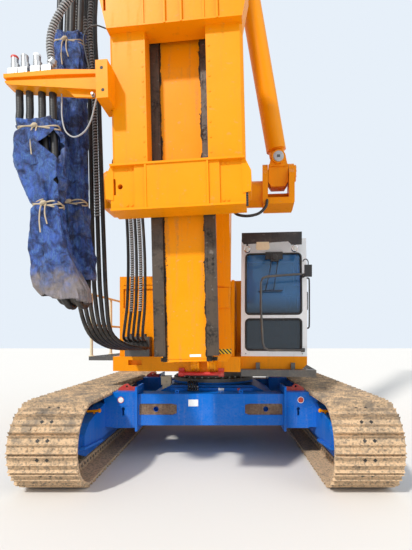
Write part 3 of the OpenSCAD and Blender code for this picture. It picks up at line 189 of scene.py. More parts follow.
def build_grease():
    """Black grease beside the mast's rails: its edge wanders, with specks ahead of it."""
    group, i, out = new_group("rail_grease", [
        ("Side", "Vector", (1, 0, 0)), ("Middle", "Float", 0.0), ("Clean half", "Float", 0.19),
        ("Wander", "Float", 0.05), ("Front", "Float", -2.6), ("Colour", "Color", (1, 1, 1, 1)),
        ("Roughness", "Float", 0.4)],
        [("Colour", "Color"), ("Roughness", "Float")])
    t = Sums(group)
    aside = t.sub(node(group, "VectorMath", {0: t.where, 1: i["Side"]},
                       operation="DOT_PRODUCT").outputs["Value"], i["Middle"])
    edge = t.noise(1.6, 9, t.stretched((6, 6, 3.4)), Roughness=0.7)
    reach = t.mul(t.sub(edge, 0.5), i["Wander"])
    over = t.sub(t.add(t.maths("ABSOLUTE", aside), reach), i["Clean half"])
    specks = t.noise(26, 4)
    speck = t.ramp(t.add(specks, t.mul(t.ramp(over, -0.09, 0.02), 0.22)), 0.83, 0.87)
    mask = t.maths("MAXIMUM", t.ramp(over, 0.0, 0.006), speck, clamp=True)
    mask = t.mul(mask, t.ramp(t.sub(t.axis(1), i["Front"]), 0.05, -0.02))
    black = t.mix(specks, (0.012, 0.011, 0.010, 1), (0.055, 0.045, 0.035, 1))
    t.join(out, {"Colour": t.mix(mask, i["Colour"], black),
                 "Roughness": t.sub(i["Roughness"], t.mul(mask, 0.12), clamp=True)})
    return group


DIRT = build_dirt()
GREASE = build_grease()
SIDE = MAST.to_3x3() @ Vector((1, 0, 0))
MIDDLE = SIDE.dot(MAST @ Vector((0, 0, 0)))


def new_material(name):
    """A material and its Principled shader."""
    material = bpy.data.materials.new(name)
    material.use_nodes = True
    return material, material.node_tree.nodes["Principled BSDF"]


def dirt_on(tree, colour, values):
    """The site_dirt group in a tree, with its own values."""
    used = node(tree, "Group", node_tree=DIRT)
    used.inputs["Colour"].default_value = (*colour, 1)
    for key, value in values.items():
        used.inputs[key.replace("_", " ")].default_value = value
    return used


def finish_of(name, colour, bump, metallic=0.0, coat=0.0, specular=0.5, grease=None, **dirt):
    """A material of the site_dirt group with its own values, and rail grease over it where it is given."""
    material, shader = new_material(name)
    tree = material.node_tree
    used = last = dirt_on(tree, colour, dirt)
    if grease:
        clean_half, wander = grease
        last = node(tree, "Group", node_tree=GREASE)
        for key, value in (("Side", SIDE), ("Middle", MIDDLE), ("Clean half", clean_half), ("Wander", wander)):
            last.inputs[key].default_value = value
        for key in ("Colour", "Roughness"):
            tree.links.new(used.outputs[key], last.inputs[key])
    made = node(tree, "Bump", {"Height": used.outputs["Height"], "Strength": 0.35, "Distance": bump})
    for value, key in ((last.outputs["Colour"], "Base Color"), (last.outputs["Roughness"], "Roughness"),
                       (made.outputs[0], "Normal")):
        tree.links.new(value, shader.inputs[key])
    for key, value in (("Metallic", metallic), ("Coat Weight", coat), ("Specular IOR Level", specular)):
        shader.inputs[key].default_value = value
    return material


SAND = (0.56, 0.42, 0.27, 1)
AMBER = (0.92, 0.31, 0.0005)
BLUE = finish_of("blue_paint", (0.0, 0.15, 0.62), bump=0.003, specular=0.15, Dust=SAND, Amount=0.07,
                 Ground_reach=1.1, Streaks=0.1, Roughness=0.4, Scratches=0.12)
YELLOW = finish_of("yellow_paint", AMBER, bump=0.002, specular=0.15, Dust=(0.36, 0.18, 0.03, 1),
                   Amount=0.12, Ground_reach=2.0, Streaks=0.22, Roughness=0.38, Scratches=0.12)
MAST_YELLOW = finish_of("greased_mast_paint", AMBER, bump=0.002, specular=0.15, grease=(0.205, 0.10),
                        Dust=(0.30, 0.19, 0.08, 1), Amount=0.16, Ground_reach=2.0, Streaks=0.35,
                        Roughness=0.38, Scratches=0.2)
RAIL = finish_of("greased_rail", (0.085, 0.06, 0.042), metallic=0.3, bump=0.004, Dust=(0.01, 0.009, 0.008, 1),
                 Amount=1.3, Patch_size=6.0, Streaks=0.6, Roughness=0.38, Scratches=0.3)
WHITE = finish_of("white_paint", (0.92, 0.95, 0.97), bump=0.001, coat=0.2, Dust=(0.55, 0.49, 0.38, 1),
                  Amount=0.12, Ground_reach=2.0, Streaks=0.18, Roughness=0.3, Scratches=0.05)
RED = finish_of("red_paint", (0.58, 0.02, 0.015), bump=0.002, Dust=SAND, Amount=0.25,
                Ground_reach=1.4, Streaks=0.2, Roughness=0.4, Scratches=0.25)
TRACK = finish_of("sandy_track_steel", (0.20, 0.165, 0.13), metallic=0.1, bump=0.02,
                  Dust=(0.66, 0.47, 0.29, 1), Amount=1.15, Ground_reach=1.6, Patch_size=5.0, Streaks=0.2,
                  Roughness=0.7, Scratches=0.2)
STEEL = finish_of("worn_steel", (0.12, 0.115, 0.11), metallic=0.6, bump=0.003, Dust=(0.42, 0.34, 0.24, 1),
                  Amount=0.35, Ground_reach=1.5, Streaks=0.2, Roughness=0.42, Scratches=0.4)
BLACK = finish_of("black_paint", (0.018, 0.018, 0.02), bump=0.002, Dust=(0.30, 0.26, 0.21, 1), Amount=0.18,
                  Ground_reach=1.5, Streaks=0.1, Roughness=0.42, Scratches=0.15)
PRIMER = finish_of("brown_primer", (0.11, 0.055, 0.035), bump=0.003, Dust=SAND, Amount=0.5, Roughness=0.7)
IRON = finish_of("engine_iron", (0.09, 0.09, 0.10), metallic=0.4, bump=0.004, Amount=0.3, Roughness=0.6)
CHROME = finish_of("chromed_rod", (0.75, 0.75, 0.77), metallic=1.0, bump=0.0005, Amount=0.05, Streaks=0.1,
                   Roughness=0.16, Scratches=0.1)
ZINC = finish_of("zinc_plate", (0.46, 0.46, 0.46), metallic=0.85, bump=0.001, Amount=0.15, Roughness=0.38)
LENS = finish_of("lamp_lens", (0.60, 0.64, 0.62), bump=0.001, coat=0.5, Amount=0.2, Roughness=0.15)
SEAT = finish_of("seat_cloth", (0.03, 0.03, 0.035), bump=0.003, Amount=0.1, Roughness=0.85)
RUBBER = finish_of("window_rubber", (0.012, 0.012, 0.013), bump=0.001, Dust=(0.22, 0.20, 0.17, 1), Amount=0.2,
                   Roughness=0.6, Scratches=0.0)
CREAM = finish_of("cream_paint", (0.74, 0.64, 0.44), bump=0.002, Dust=SAND, Amount=0.3, Roughness=0.45)
GUARD = finish_of("grey_hose_guard", (0.42, 0.43, 0.44), bump=0.001, Dust=(0.30, 0.26, 0.20, 1), Amount=0.35,
                  Roughness=0.5, Scratches=0.0)
ROPE = finish_of("natural_rope", (0.56, 0.46, 0.32), bump=0.003, Dust=(0.25, 0.19, 0.13, 1), Amount=0.5,
                 Patch_size=12.0, Roughness=0.9, Scratches=0.0)


def build_hose_rubber():
    """Hose cover: wound cloth marks round it by its own UV, with some dust."""
    material, shader = new_material("hose_rubber")
    tree = material.node_tree
    t = Sums(tree)
    used = dirt_on(tree, (0.014, 0.014, 0.015), {
        "Dust": (0.24, 0.20, 0.15, 1), "Amount": 0.35, "Patch size": 4.0, "Streaks": 0.1, "Roughness": 0.45,
        "Scratches": 0.0})
    along = node(tree, "SeparateXYZ", {0: node(tree, "TexCoord").outputs["UV"]}).outputs
    rings_a_metre = 60
    turns = t.add(t.mul(along[1], rings_a_metre), along[0])
    wave = t.maths("ABSOLUTE", t.sub(t.maths("FRACT", turns), 0.5))
    t.join(shader, {"Base Color": used.outputs["Colour"], "Roughness": used.outputs["Roughness"],
                    "Normal": t.bump(wave, 0.5, 0.003)})
    return material


def build_tarp_cloth():
    """Woven coated cloth: deep blue, with painted shade where its crumples dip and painted highlight where they
    rise, paler blue painted highlights along the creases, and smears of mud.
    """
    material, shader = new_material("tarp_cloth")
    tree = material.node_tree
    t = Sums(tree)
    uv = node(tree, "TexCoord").outputs["UV"]
    weave = t.mul(*[node(tree, "TexWave", {"Vector": uv, "Scale": 130, "Distortion": 0.4, "Detail": 1},
                         bands_direction=way).outputs["Fac"] for way in ("X", "Y")])
    crumple = t.noise(9, 9, Roughness=0.66, Distortion=0.8)
    creases = t.noise(3.4, 9, t.stretched((5, 5, 1)), Roughness=0.7)
    line = t.sub(1.0, t.ramp(t.maths("ABSOLUTE", t.sub(creases, 0.5)), 0.0, 0.035))
    # Painted highlight: pale blue along the crease lines, where the crumple noise is high.
    crease_highlight = t.mul(line, t.ramp(crumple, 0.35, 0.65))
    mud = t.noise(2.6, 10, Roughness=0.7)
    soiled = t.ramp(t.add(t.axis(2), t.mul(mud, 1.1)), 3.15, 2.85)
    # Painted shade and highlight: dark blue where the crumple noise, which is also the bump's height, is low,
    # bright blue where it is high.
    colour = t.mix(t.ramp(crumple, 0.36, 0.66), (0.008, 0.018, 0.085, 1), (0.055, 0.14, 0.52, 1))
    for share, over in ((t.mul(crease_highlight, 0.55), (0.20, 0.40, 0.66, 1)),
                        (t.mul(t.ramp(mud, 0.56, 0.72), 0.45), (0.36, 0.38, 0.40, 1)),
                        (t.mul(soiled, 0.8), (0.33, 0.27, 0.22, 1))):
        colour = t.mix(share, colour, over)
    height = t.add(t.add(crumple, t.mul(weave, 0.04)), t.mul(line, 0.12))
    t.join(shader, {"Base Color": colour, "Roughness": t.add(0.24, t.mul(crumple, 0.3)),
                    "Normal": t.bump(height, 0.9, 0.035)})
    return material


def build_glass():
    """Tinted glass, dark below the cab's cross bar and bright blue above it as a painted sky reflection, with
    faint smears.
    """
    material, shader = new_material("cab_glass")
    t = Sums(material.node_tree)
    # Painted reflection: the panes above the cross bar take a bright sky blue.
    tint_with_sky_reflection = t.mix(t.ramp(t.axis(2), 2.1, 2.5), (0.08, 0.12, 0.16, 1), (0.13, 0.42, 0.85, 1))
    t.join(shader, {"Base Color": tint_with_sky_reflection, "Roughness": t.mul(t.noise(3.0, 5), 0.12)})
    shader.inputs["Transmission Weight"].default_value = 0.7
    shader.inputs["IOR"].default_value = 1.5
    return material


def build_hazard():
    """Black and yellow slanted stripes."""
    material, shader = new_material("hazard_stripes")
    t = Sums(material.node_tree)
    slant = t.mul(t.add(t.axis(0), t.axis(2)), 22)
    stripe = t.ramp(t.maths("FRACT", slant), 0.48, 0.52)
    t.join(shader, {"Base Color": t.mix(stripe, (0.85, 0.62, 0.02, 1), (0.02, 0.02, 0.02, 1))})
    shader.inputs["Roughness"].default_value = 0.45
    return material


HOSE, TARP, GLASS, HAZARD = build_hose_rubber(), build_tarp_cloth(), build_glass(), build_hazard()

# Each slot's materials: the first is the CAD nodes' own, the others are for pieces made here
SLOTS = {
    "blue_paint": (BLUE, PRIMER), "track_steel": (TRACK,), "dark_steel": (STEEL, BLACK), "red_paint": (RED,),
    "yellow_paint": (YELLOW, HAZARD, CREAM), "engine_iron": (IRON,), "white_paint": (WHITE,),
    "window_glass": (GLASS, LENS), "seat_plastic": (SEAT,), "rod_chrome": (CHROME,), "coupling_steel": (ZINC,),
    "hose_rubber": (HOSE, RUBBER, GUARD), "tarp_cloth": (TARP, ROPE),
}
# Nodes that don't look as their slot does
OWN_LOOKS = {"mast_lower": MAST_YELLOW, "mast_upper": MAST_YELLOW, "mast_rails": RAIL, "cab_guard": BLACK}
for row in frame["record"]["subparts"]:
    data = frame["nodes"][row["node"]].data
    data.materials.clear()
    data.materials.append(OWN_LOOKS.get(row["node"], SLOTS[row["material_slot"]][0]))


# Forms gathered in the frame of the body that they ride on, and made one piece
PUT = {"x": lambda u, v, w: (w, u, v), "y": lambda u, v, w: (u, w, v), "z": lambda u, v, w: (u, v, w)}


def circle(count):
    """Angles evenly round a circle."""
    return [2 * pi * k / count for k in range(count)]


def ring(axis, u, v, w, radius, angles):
    """Points on a circle square to an axis."""
    return [PUT[axis](u + radius * cos(a), v + radius * sin(a), w) for a in angles]


def across(direction):
    """Two unit vectors square to a direction."""
    d = Vector(direction).normalized()
    side = d.cross(Vector((0, 0, 1)) if abs(d.z) < 0.8 else Vector((1, 0, 0))).normalized()
    return side, d.cross(side).normalized()


def smooth_path(points, steps):
    """A curve through the points, with some steps between each two."""
    p = [Vector(q) for q in points]
    p = [2 * p[0] - p[1]] + p + [2 * p[-1] - p[-2]]
    out = []
    for k in range(1, len(p) - 2):
        a, b, c, d = p[k - 1:k + 3]
        for s in range(steps):
            t = s / steps
            out.append(0.5 * (2 * b + (c - a) * t + (2 * a - 5 * b + 4 * c - d) * t * t
                              + (3 * b - a - 3 * c + d) * t ** 3))
    return out + [p[-2]]


def along(path, closed=False):
    """Frames carried along a path without twist, and each point's distance along it."""
    n = len(path)
    ways = [(path[(k + 1) % n] - path[k - 1]) if closed or 0 < k < n - 1
            else (path[1] - path[0] if k == 0 else path[-1] - path[-2]) for k in range(n)]
    ways = [w.normalized() for w in ways]
    side = across(ways[0])[0]
    frames, far = [], [0.0]
    for k in range(n):
        side = (side - ways[k] * side.dot(ways[k])).normalized()
        frames.append((side.copy(), ways[k].cross(side)))
        if k:
            far.append(far[-1] + (path[k] - path[k - 1]).length)
    return frames, far


def swept(path, radius, sides, closed=False):
    """Points and faces of a tube along a path, and each ring's distance along it."""
    path = [Vector(q) for q in path]
    n = len(path)
    frames, far = along(path, closed)
    points = [path[k] + (frames[k][0] * cos(a) + frames[k][1] * sin(a)) * radius
              for k in range(n) for a in circle(sides)]
    faces = [(k * sides + j, k * sides + (j + 1) % sides, ((k + 1) % n) * sides + (j + 1) % sides,
              ((k + 1) % n) * sides + j) for k in range(n if closed else n - 1) for j in range(sides)]
    if not closed:
        faces += [tuple(range(sides))[::-1], tuple(range((n - 1) * sides, n * sides))]
    return points, faces, far


class Shape:
    def __init__(self, body, place=None):
        self.body, self.place = body, frame_of(body) if place is None else place
        self.points, self.faces = [], []

    def add(self, points, faces):
        start = len(self.points)
        self.points += [self.place @ Vector(p) for p in points]
        self.faces += [[start + k for k in face] for face in faces]
        return self

    def block(self, low, high):
        (x, y, z), (a, b, c) = low, high
        corners = [(x, y, z), (a, y, z), (a, b, z), (x, b, z), (x, y, c), (a, y, c), (a, b, c), (x, b, c)]
        sides = [(3, 2, 1, 0), (4, 5, 6, 7), (0, 1, 5, 4), (1, 2, 6, 5), (2, 3, 7, 6), (3, 0, 4, 7)]
        return self.add(corners, sides)

    def lathe(self, start, end, profile, sides=24):
        """A turned form from start to end; profile has (share of the way, radius)."""
        start, end = Vector(start), Vector(end)
        u, v = across(end - start)
        points = [start.lerp(end, s) + (u * cos(a) + v * sin(a)) * r
                  for s, r in profile for a in circle(sides)]
        n = (len(profile) - 1) * sides
        faces = [(j + k, j + (k + 1) % sides, j + sides + (k + 1) % sides, j + sides + k)
                 for j in range(0, n, sides) for k in range(sides)]
        return self.add(points, faces + [tuple(range(sides))[::-1], tuple(range(n, n + sides))])

    def rod(self, start, end, radius, sides):
        return self.lathe(start, end, [(0, radius), (1, radius)], sides)

    def plate(self, outline, axis, low, high):
        """An outline of (u, v) in the plane square to an axis, as thick as low to high."""
        n = len(outline)
        faces = [(k, (k + 1) % n, n + (k + 1) % n, n + k) for k in range(n)]
        return self.add([PUT[axis](u, v, w) for w in (low, high) for u, v in outline],
                        faces + [tuple(range(n))[::-1], tuple(range(n, 2 * n))])

    def tube(self, path, radius, sides, closed=False):
        return self.add(*swept(path, radius, sides, closed)[:2])

    def curve(self, points, steps, radius, sides):
        return self.tube(smooth_path(points, steps), radius, sides)


def soften(mesh, angle=35):
    """Smooth shading with the edges sharper than an angle kept."""
    mesh.polygons.foreach_set("use_smooth", [True] * len(mesh.polygons))
    mesh.set_sharp_from_angle(angle=radians(angle))


def mesh_of(name, points, faces):
    """A mesh with its faces turned outward."""
    mesh = bpy.data.meshes.new(name)
    mesh.from_pydata(points, [], faces)
    bm = bmesh.new()
    bm.from_mesh(mesh)
    bmesh.ops.recalc_face_normals(bm, faces=bm.faces)
    bm.to_mesh(mesh)
    bm.free()
    return mesh


def link(name, mesh):
    made = bpy.data.objects.new(name, mesh)
    bpy.context.scene.collection.objects.link(made)
    return made


def settle(name, mesh, body):
    """The mesh as a piece that rides on a body."""
    made = link(name, mesh)
    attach(made, body)
    return made


def piece(name, shape, finish, bevel=0.0):
    """One piece from a shape, its outer edges rounded by bevel metres."""
    mesh = mesh_of(name, shape.points, shape.faces)
    soften(mesh)
    mesh.materials.append(finish)
    made = settle(name, mesh, shape.body)
    if bevel:
        edges = made.modifiers.new("edges", "BEVEL")
        edges.width, edges.segments, edges.limit_method = bevel, 2, "ANGLE"
        edges.angle_limit = radians(40)


# Geometry Nodes for what repeats
def geo(tree, kind, links, **settings):
    return node(tree, kind, links, "GeometryNode", **settings)


def new_tree(name, inputs):
    """A geometry tree with a mesh in and out, its own inputs and a finish."""
    return new_group(name, [("Geometry", "Geometry", None), *inputs, ("Finish", "Material", None)],
                     [("Geometry", "Geometry")], "Geometry")


def end_tree(tree, out, geometry, finish):
    real = geo(tree, "RealizeInstances", {"Geometry": geometry}).outputs[0]
    made = geo(tree, "SetMaterial", {"Geometry": real, "Material": finish}).outputs[0]
    tree.links.new(made, out.inputs[0])
    return tree


def build_fasteners():
    """A bolt head on each point, standing along the point's own direction."""
    tree, i, out = new_tree("fasteners", [
        ("Radius", "Float", 0.02), ("Height", "Float", 0.015), ("Sides", "Int", 6)])
    head = geo(tree, "MeshCylinder", {"Vertices": i["Sides"], "Radius": i["Radius"],
                                      "Depth": i["Height"]}).outputs["Mesh"]
    way = geo(tree, "InputNamedAttribute", {"Name": "out"}, data_type="FLOAT_VECTOR").outputs["Attribute"]
    turn = node(tree, "AlignRotationToVector", {"Vector": way}, "FunctionNode", axis="Z").outputs[0]
    placed = geo(tree, "InstanceOnPoints", {
        "Points": i["Geometry"], "Instance": head, "Rotation": turn}).outputs[0]
    return end_tree(tree, out, placed, i["Finish"])


def build_row():
    """The mesh repeated in a row."""
    tree, i, out = new_tree("row", [("Count", "Int", 5), ("Step", "Vector", (0, 0, 0.1))])
    line = geo(tree, "MeshLine", {"Count": i["Count"], "Offset": i["Step"]}).outputs[0]
    placed = geo(tree, "InstanceOnPoints", {"Points": line, "Instance": i["Geometry"]}).outputs[0]
    return end_tree(tree, out, placed, i["Finish"])


def build_grooving():
    """The ridges between a bare drum's rope grooves, as one spiral along Z."""
    tree, i, out = new_tree("drum_grooves", [("Turns", "Float", 10.0), ("Drum radius", "Float", 0.2),
                                             ("Width", "Float", 0.5), ("Ridge radius", "Float", 0.014)])
    spiral = geo(tree, "CurveSpiral", {
        "Resolution": 28, "Rotations": i["Turns"], "Start Radius": i["Drum radius"],
        "End Radius": i["Drum radius"], "Height": i["Width"]}).outputs[0]
    section = geo(tree, "CurvePrimitiveCircle", {"Resolution": 8, "Radius": i["Ridge radius"]}).outputs[0]
    ridge = geo(tree, "CurveToMesh", {"Curve": spiral, "Profile Curve": section, "Fill Caps": True}).outputs[0]
    return end_tree(tree, out, ridge, i["Finish"])


FASTENERS, ROW, GROOVES = build_fasteners(), build_row(), build_grooving()


def grown(name, mesh, tree, values, body, finish, place=None):
    """A mesh run through a geometry tree with its inputs set, then made a plain piece."""
    base = link(name + "_base", mesh)
    modifier = base.modifiers.new("tree", "NODES")
    modifier.node_group = tree
    sockets = {s.name: s.identifier for s in tree.interface.items_tree if s.in_out == "INPUT"}
    for key, value in {**values, "Finish": finish}.items():
        modifier[sockets[key]] = value
    result = bpy.data.meshes.new_from_object(base.evaluated_get(bpy.context.evaluated_depsgraph_get()))
    result.name = name
    bpy.data.objects.remove(base)
    if place is not None:
        result.transform(place)
    soften(result)
    settle(name, result, body)


def fasteners(name, spots, body, finish, radius, height, sides=6):
    """Bolt heads at (point, outward direction) of a body's frame."""
    place = frame_of(body)
    turned = place.to_3x3()
    mesh = bpy.data.meshes.new(name + "_spots")
    mesh.from_pydata([place @ Vector(p) for p, way in spots], [], [])
    mesh.attributes.new("out", "FLOAT_VECTOR", "POINT").data.foreach_set(
        "vector", [c for p, way in spots for c in (turned @ Vector(way)).normalized()])
    grown(name, mesh, FASTENERS, {"Radius": radius, "Height": height, "Sides": sides}, body, finish)


def row_of(name, shape, count, step, finish):
    """A shape repeated in a row; the step is in the shape's own frame."""
    grown(name, mesh_of(name + "_one", shape.points, shape.faces), ROW,
          {"Count": count, "Step": tuple(shape.place.to_3x3() @ Vector(step))}, shape.body, finish)


# Hoses; ARM_Y is the middle plane of the hose arm
HOSE_STEPS, ARM_Y = 5, -2.96
HOSE_R, BUNDLE_R, THIN_R, RISER_R = 0.037, 0.026, 0.018, 0.03


def hose(name, points, radius, body, finish=HOSE, sides=12):
    """A hose or cable through the points, with a UV map in turns and metres."""
    path = smooth_path([frame_of(body) @ Vector(p) for p in points], HOSE_STEPS)
    verts, faces, far = swept(path, radius, sides)
    mesh = mesh_of(name, verts, faces)
    uv = mesh.uv_layers.new(name="UVMap")
    for poly in mesh.polygons:
        corners = [mesh.loops[k].vertex_index for k in poly.loop_indices]
        first_side = len(corners) == 4 and min(c % sides for c in corners) == 0
        for k, c in zip(poly.loop_indices, corners):
            j = -1 if first_side and c % sides == sides - 1 else c % sides
            uv.data[k].uv = (j / sides, far[c // sides])
    soften(mesh, 50)
    mesh.materials.append(finish)
    made = settle(name, mesh, body)
    return made


def spiral_guard(name, points, radius, begin, end, body, pitch=0.034):
    """Plastic spiral wound round a hose between two shares of its length."""
    path = smooth_path([frame_of(body) @ Vector(p) for p in points], HOSE_STEPS)
    frames, far = along(path)
    first, last = far[-1] * begin, far[-1] * end
    points_a_turn, clear, thick = 9, 0.003, 0.0075
    count = int((last - first) / pitch * points_a_turn)
    line = []
    for k in range(count + 1):
        s = first + (last - first) * k / count
        j = min(max(int(np.searchsorted(far, s)) - 1, 0), len(path) - 2)
        t = (s - far[j]) / (far[j + 1] - far[j])
        a = 2 * pi * (s - first) / pitch
        way = frames[j][0] * cos(a) + frames[j][1] * sin(a)
        line.append(path[j].lerp(path[j + 1], t) + way * (radius + clear))
    piece(name, Shape(body, WORLD).tube(line, thick, 5), GUARD)


# The hose arm's middle line at its root, its rise over its length, and half its thickness
ARM_ROOT_X, ARM_ROOT_Z, ARM_RISE, ARM_LONG, ARM_HALF = -0.735, 4.31, 0.13, 0.95, 0.035


def arm_under(x):
    """Height of the hose arm's underside at an x."""
    return ARM_ROOT_Z - ARM_HALF + ARM_RISE * (ARM_ROOT_X - x) / ARM_LONG


# The loop: four hoses from the arm, joined at its lowest point to four that rise to the mast
FRONT_X = (-1.655, -1.545, -1.412, -1.295)
LOOP_Y, SEAM, HOSE_TOP = -2.76, 0.00015, 9.3997
for number, x in enumerate(FRONT_X, 1):
    o, s = number - 2.5, 1 if number % 2 else -1
    low = -1.22 + o * 0.066
    front = hose("front_hose_%d" % number, [
        (x, ARM_Y, arm_under(x + HOSE_R) - 0.001), (x, ARM_Y, 4.2), (x, ARM_Y, 4.05),
        (-1.42 + o * 0.09, -2.957 + s * 0.012, 3.66), (-1.372 + o * 0.058, -2.957 + s * 0.03, 3.2),
        (-1.365 + o * 0.066, -2.955 + s * 0.024, 2.75), (-1.31 + o * 0.066, -2.94 + s * 0.024, 2.45),
        (low - 0.02, -2.90 + s * 0.02, 2.29 + s * 0.01), (low, LOOP_Y - 0.06, 2.205 + s * 0.024),
        (low, LOOP_Y - 0.005, 2.2 + s * 0.024), (low, LOOP_Y - SEAM, 2.2 + s * 0.024)], HOSE_R, "sledge")
    rear = hose("rear_hose_%d" % number, [
        (low, LOOP_Y + SEAM, 2.2 + s * 0.024), (low, LOOP_Y + 0.005, 2.2 + s * 0.024),
        (low, LOOP_Y + 0.06, 2.205 + s * 0.024), (low - 0.02, -2.63 - s * 0.02, 2.29 + s * 0.01),
        (-1.255 + o * 0.066, -2.58 - s * 0.024, 2.65), (-1.315 + o * 0.066, -2.565 - s * 0.024, 3.6),
        (-1.31 + o * 0.07, -2.56 - s * 0.024, 5.0), (-1.20 + o * 0.075, -2.53 - s * 0.02, 7.0),
        (-1.06 + o * 0.085, -2.5 - s * 0.01, 8.6), (-0.9 + o * 0.085, -2.48, 9.2),
        (-0.9 + o * 0.085, -2.48, HOSE_TOP)], HOSE_R, "mast")
    if number == 1:
        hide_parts("sledge_hoses")
        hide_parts("loop_hoses")


def mast_point(x, y, z):
    """A point of the upper carriage's frame, in the mast's own."""
    return MAST.inverted() @ UPPER @ Vector((x, y, z))


# The bundle down the mast to the valve block: six hoses, and five thinner ones in front of them
BUNDLE_STEP = 0.058
BUNDLE = []
for number in range(6):
    x = -number * BUNDLE_STEP
    BUNDLE.append([
        (-0.6 + x, -2.3, HOSE_TOP), (-0.6 + x, -2.3, 9.2), (-0.7 + x, -2.29, 8.0), (-1.09 + x, -2.28, 6.0),
        (-1.095 + x, -2.26, 4.6), (-1.085 + 1.2 * x, -2.24, 2.9), (-1.09 + 1.2 * x, -2.19, 2.29),
        (-1.11 + x, -2.02, 1.9), (-1.03 + x, -1.7, 1.73), (-0.91 + x, -1.45, 1.68),
        mast_point(-0.86 + x, -1.25, 1.65), mast_point(-0.86 + x, -1.1503, 1.65)])
    made = hose("bundle_hose_%d" % (number + 1), BUNDLE[-1], BUNDLE_R, "mast")
    if number == 0:
        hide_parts("mast_hoses")
for n in range(5):
    x = -0.629 - n * BUNDLE_STEP
    route = [(x, -2.252, HOSE_TOP), (x, -2.252, 9.2), (-0.72 - n * 0.05, -2.25, 8.0),
             (-0.74 - n * 0.045, -2.24, 6.0), (-0.66 - n * 0.045, -2.22, 4.2), (-0.60 - n * 0.05, -2.20, 3.0),
             (-0.62 - n * 0.055, -2.15, 2.3), (-0.70 - n * 0.06, -2.0, 1.95), (-0.80 - n * 0.066, -1.7, 1.83),
             (-0.86 - n * 0.066, -1.45, 1.79), mast_point(-0.9 - n * 0.066, -1.25, 1.757),
             mast_point(-0.9 - n * 0.066, -1.1257, 1.755)]
    hose("bundle_hose_%d" % (n + 7), route, THIN_R, "mast", sides=10)
    if n % 2:
        spiral_guard("thin_guard_%d" % n, route, THIN_R, 0.52, 0.86, "mast", pitch=0.028)
for number, begin, end in ((1, 0.40, 0.72), (2, 0.44, 0.55), (4, 0.42, 0.60), (5, 0.50, 0.74)):
    spiral_guard("bundle_guard_%d" % number, BUNDLE[number], BUNDLE_R, begin, end, "mast")

RISER = [(-1.302, ARM_Y, 4.62), (-1.302, ARM_Y, 4.70), (-1.314, ARM_Y, 4.838), (-1.295, ARM_Y, 4.983),
         (-1.238, ARM_Y, 5.111), (-1.134, ARM_Y, 5.262), (-0.98, -2.95, 5.42), (-0.83, -2.94, 5.47),
         (-0.742, -2.94, 5.475)]
hose("riser_hose", RISER, RISER_R, "sledge")
spiral_guard("riser_guard", RISER, RISER_R, 0.06, 0.93, "sledge", pitch=0.03)

# Tarpaulins round the hoses
SQUARENESS = 2.6


def oval(a):
    """A rounded rectangle of half size 1 reaches 1 over this at an angle."""
    return (abs(cos(a)) ** SQUARENESS + abs(sin(a)) ** SQUARENESS) ** (1 / SQUARENESS)


def ridged(p):
    """Noise with sharp crests."""
    return 1 - 2.4 * abs(noise.noise(p))


def wrapped_tarp(name, body, node_name, levels, seed, ties, slant, gaps=()):
    """A sheet wrapped round upright hoses. levels has (height, middle x, middle y, half width, half depth);
    ties are (height, how far a rope draws it in); gaps are (top, widest, bottom, opening angle) of its seam;
    slant lowers the right end of its lower edge."""
    count_round, count_up = 150, 130
    seam_at, laps = -0.9, 1.07
    pinch_reach, fold_reach, rope_reach = 0.09, 0.28, 0.035
    across_count = count_round + 1
    place = frame_of(body)
    top, bottom = levels[0][0], levels[-1][0]
    heights, *columns = [[row[k] for row in levels][::-1] for k in range(5)]
    verts = []
    for j in range(count_up + 1):
        v = j / count_up
        z0 = top + (bottom - top) * v
        mid_x, mid_y, wide, deep = (float(np.interp(z0, heights, col)) for col in columns)
        pinch, drawn, held = 1.0, 0.0, 0.0
        for tie, pull in ties:
            pinch *= 1 - pull * exp(-((z0 - tie) / pinch_reach) ** 2)
            drawn += exp(-((z0 - tie) / fold_reach) ** 2)
            held = max(held, exp(-((z0 - tie) / rope_reach) ** 2))
        opened = sum(float(np.interp(z0, (low, widest, high), (0, angle, 0)))
                     for high, widest, low, angle in gaps)
        start, turn = seam_at + opened / 2, 2 * pi * laps - opened
        for k in range(across_count):
            u = k / count_round
            a = start + turn * u
            spread = pinch / oval(a)
            p = Vector((cos(a) * 1.6, sin(a) * 1.6, z0 * 0.55 + seed))
            fold = 7 * a + 2.2 * noise.noise(p * 0.9) + z0 * 1.3
            folds = 0.55 - 1.1 * abs(sin(fold / 2)) + 0.3 * sin(13 * a + 3.0 * noise.noise(p * 1.3))
            around = Vector((cos(a) * 1.5, sin(a) * 1.5, z0 * 1.9 + seed))
            shift = folds * (0.012 + 0.022 * drawn) + ridged(around) * 0.030 + ridged(around * 2.6) * 0.015
            shift = min(shift, 0.0) * held + shift * (1 - held)
            edge = 0.012 * u
            x = mid_x + cos(a) * (wide * spread + shift + edge)
            y = mid_y + sin(a) * (deep * spread + shift * 0.75 + edge)
            sag = 0.03 * noise.noise(Vector((a * 1.4, seed, 4.0))) * abs(2 * v - 1) ** 6
            sag -= slant * cos(a) * v ** 8
            verts.append(place @ Vector((x, y, z0 + sag)))
    faces = [(j + k, j + k + 1, j + across_count + k + 1, j + across_count + k)
             for j in range(0, count_up * across_count, across_count) for k in range(count_round)]
    mesh = bpy.data.meshes.new(name)
    mesh.from_pydata(verts, [], faces)
    uv = mesh.uv_layers.new(name="UVMap")
    middle_row = count_up // 2 * across_count
    width = sum((verts[k + 1] - verts[k]).length for k in range(middle_row, middle_row + count_round))
    for loop in mesh.loops:
        j, k = divmod(loop.vertex_index, across_count)
        uv.data[loop.index].uv = (k / count_round * width, j / count_up * (top - bottom))
    soften(mesh, 60)
    mesh.materials.append(TARP)
    made = settle(name, mesh, body)
    thick = made.modifiers.new("cloth", "SOLIDIFY")
    thick.thickness, thick.offset = 0.0025, 0.0
    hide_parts(node_name)


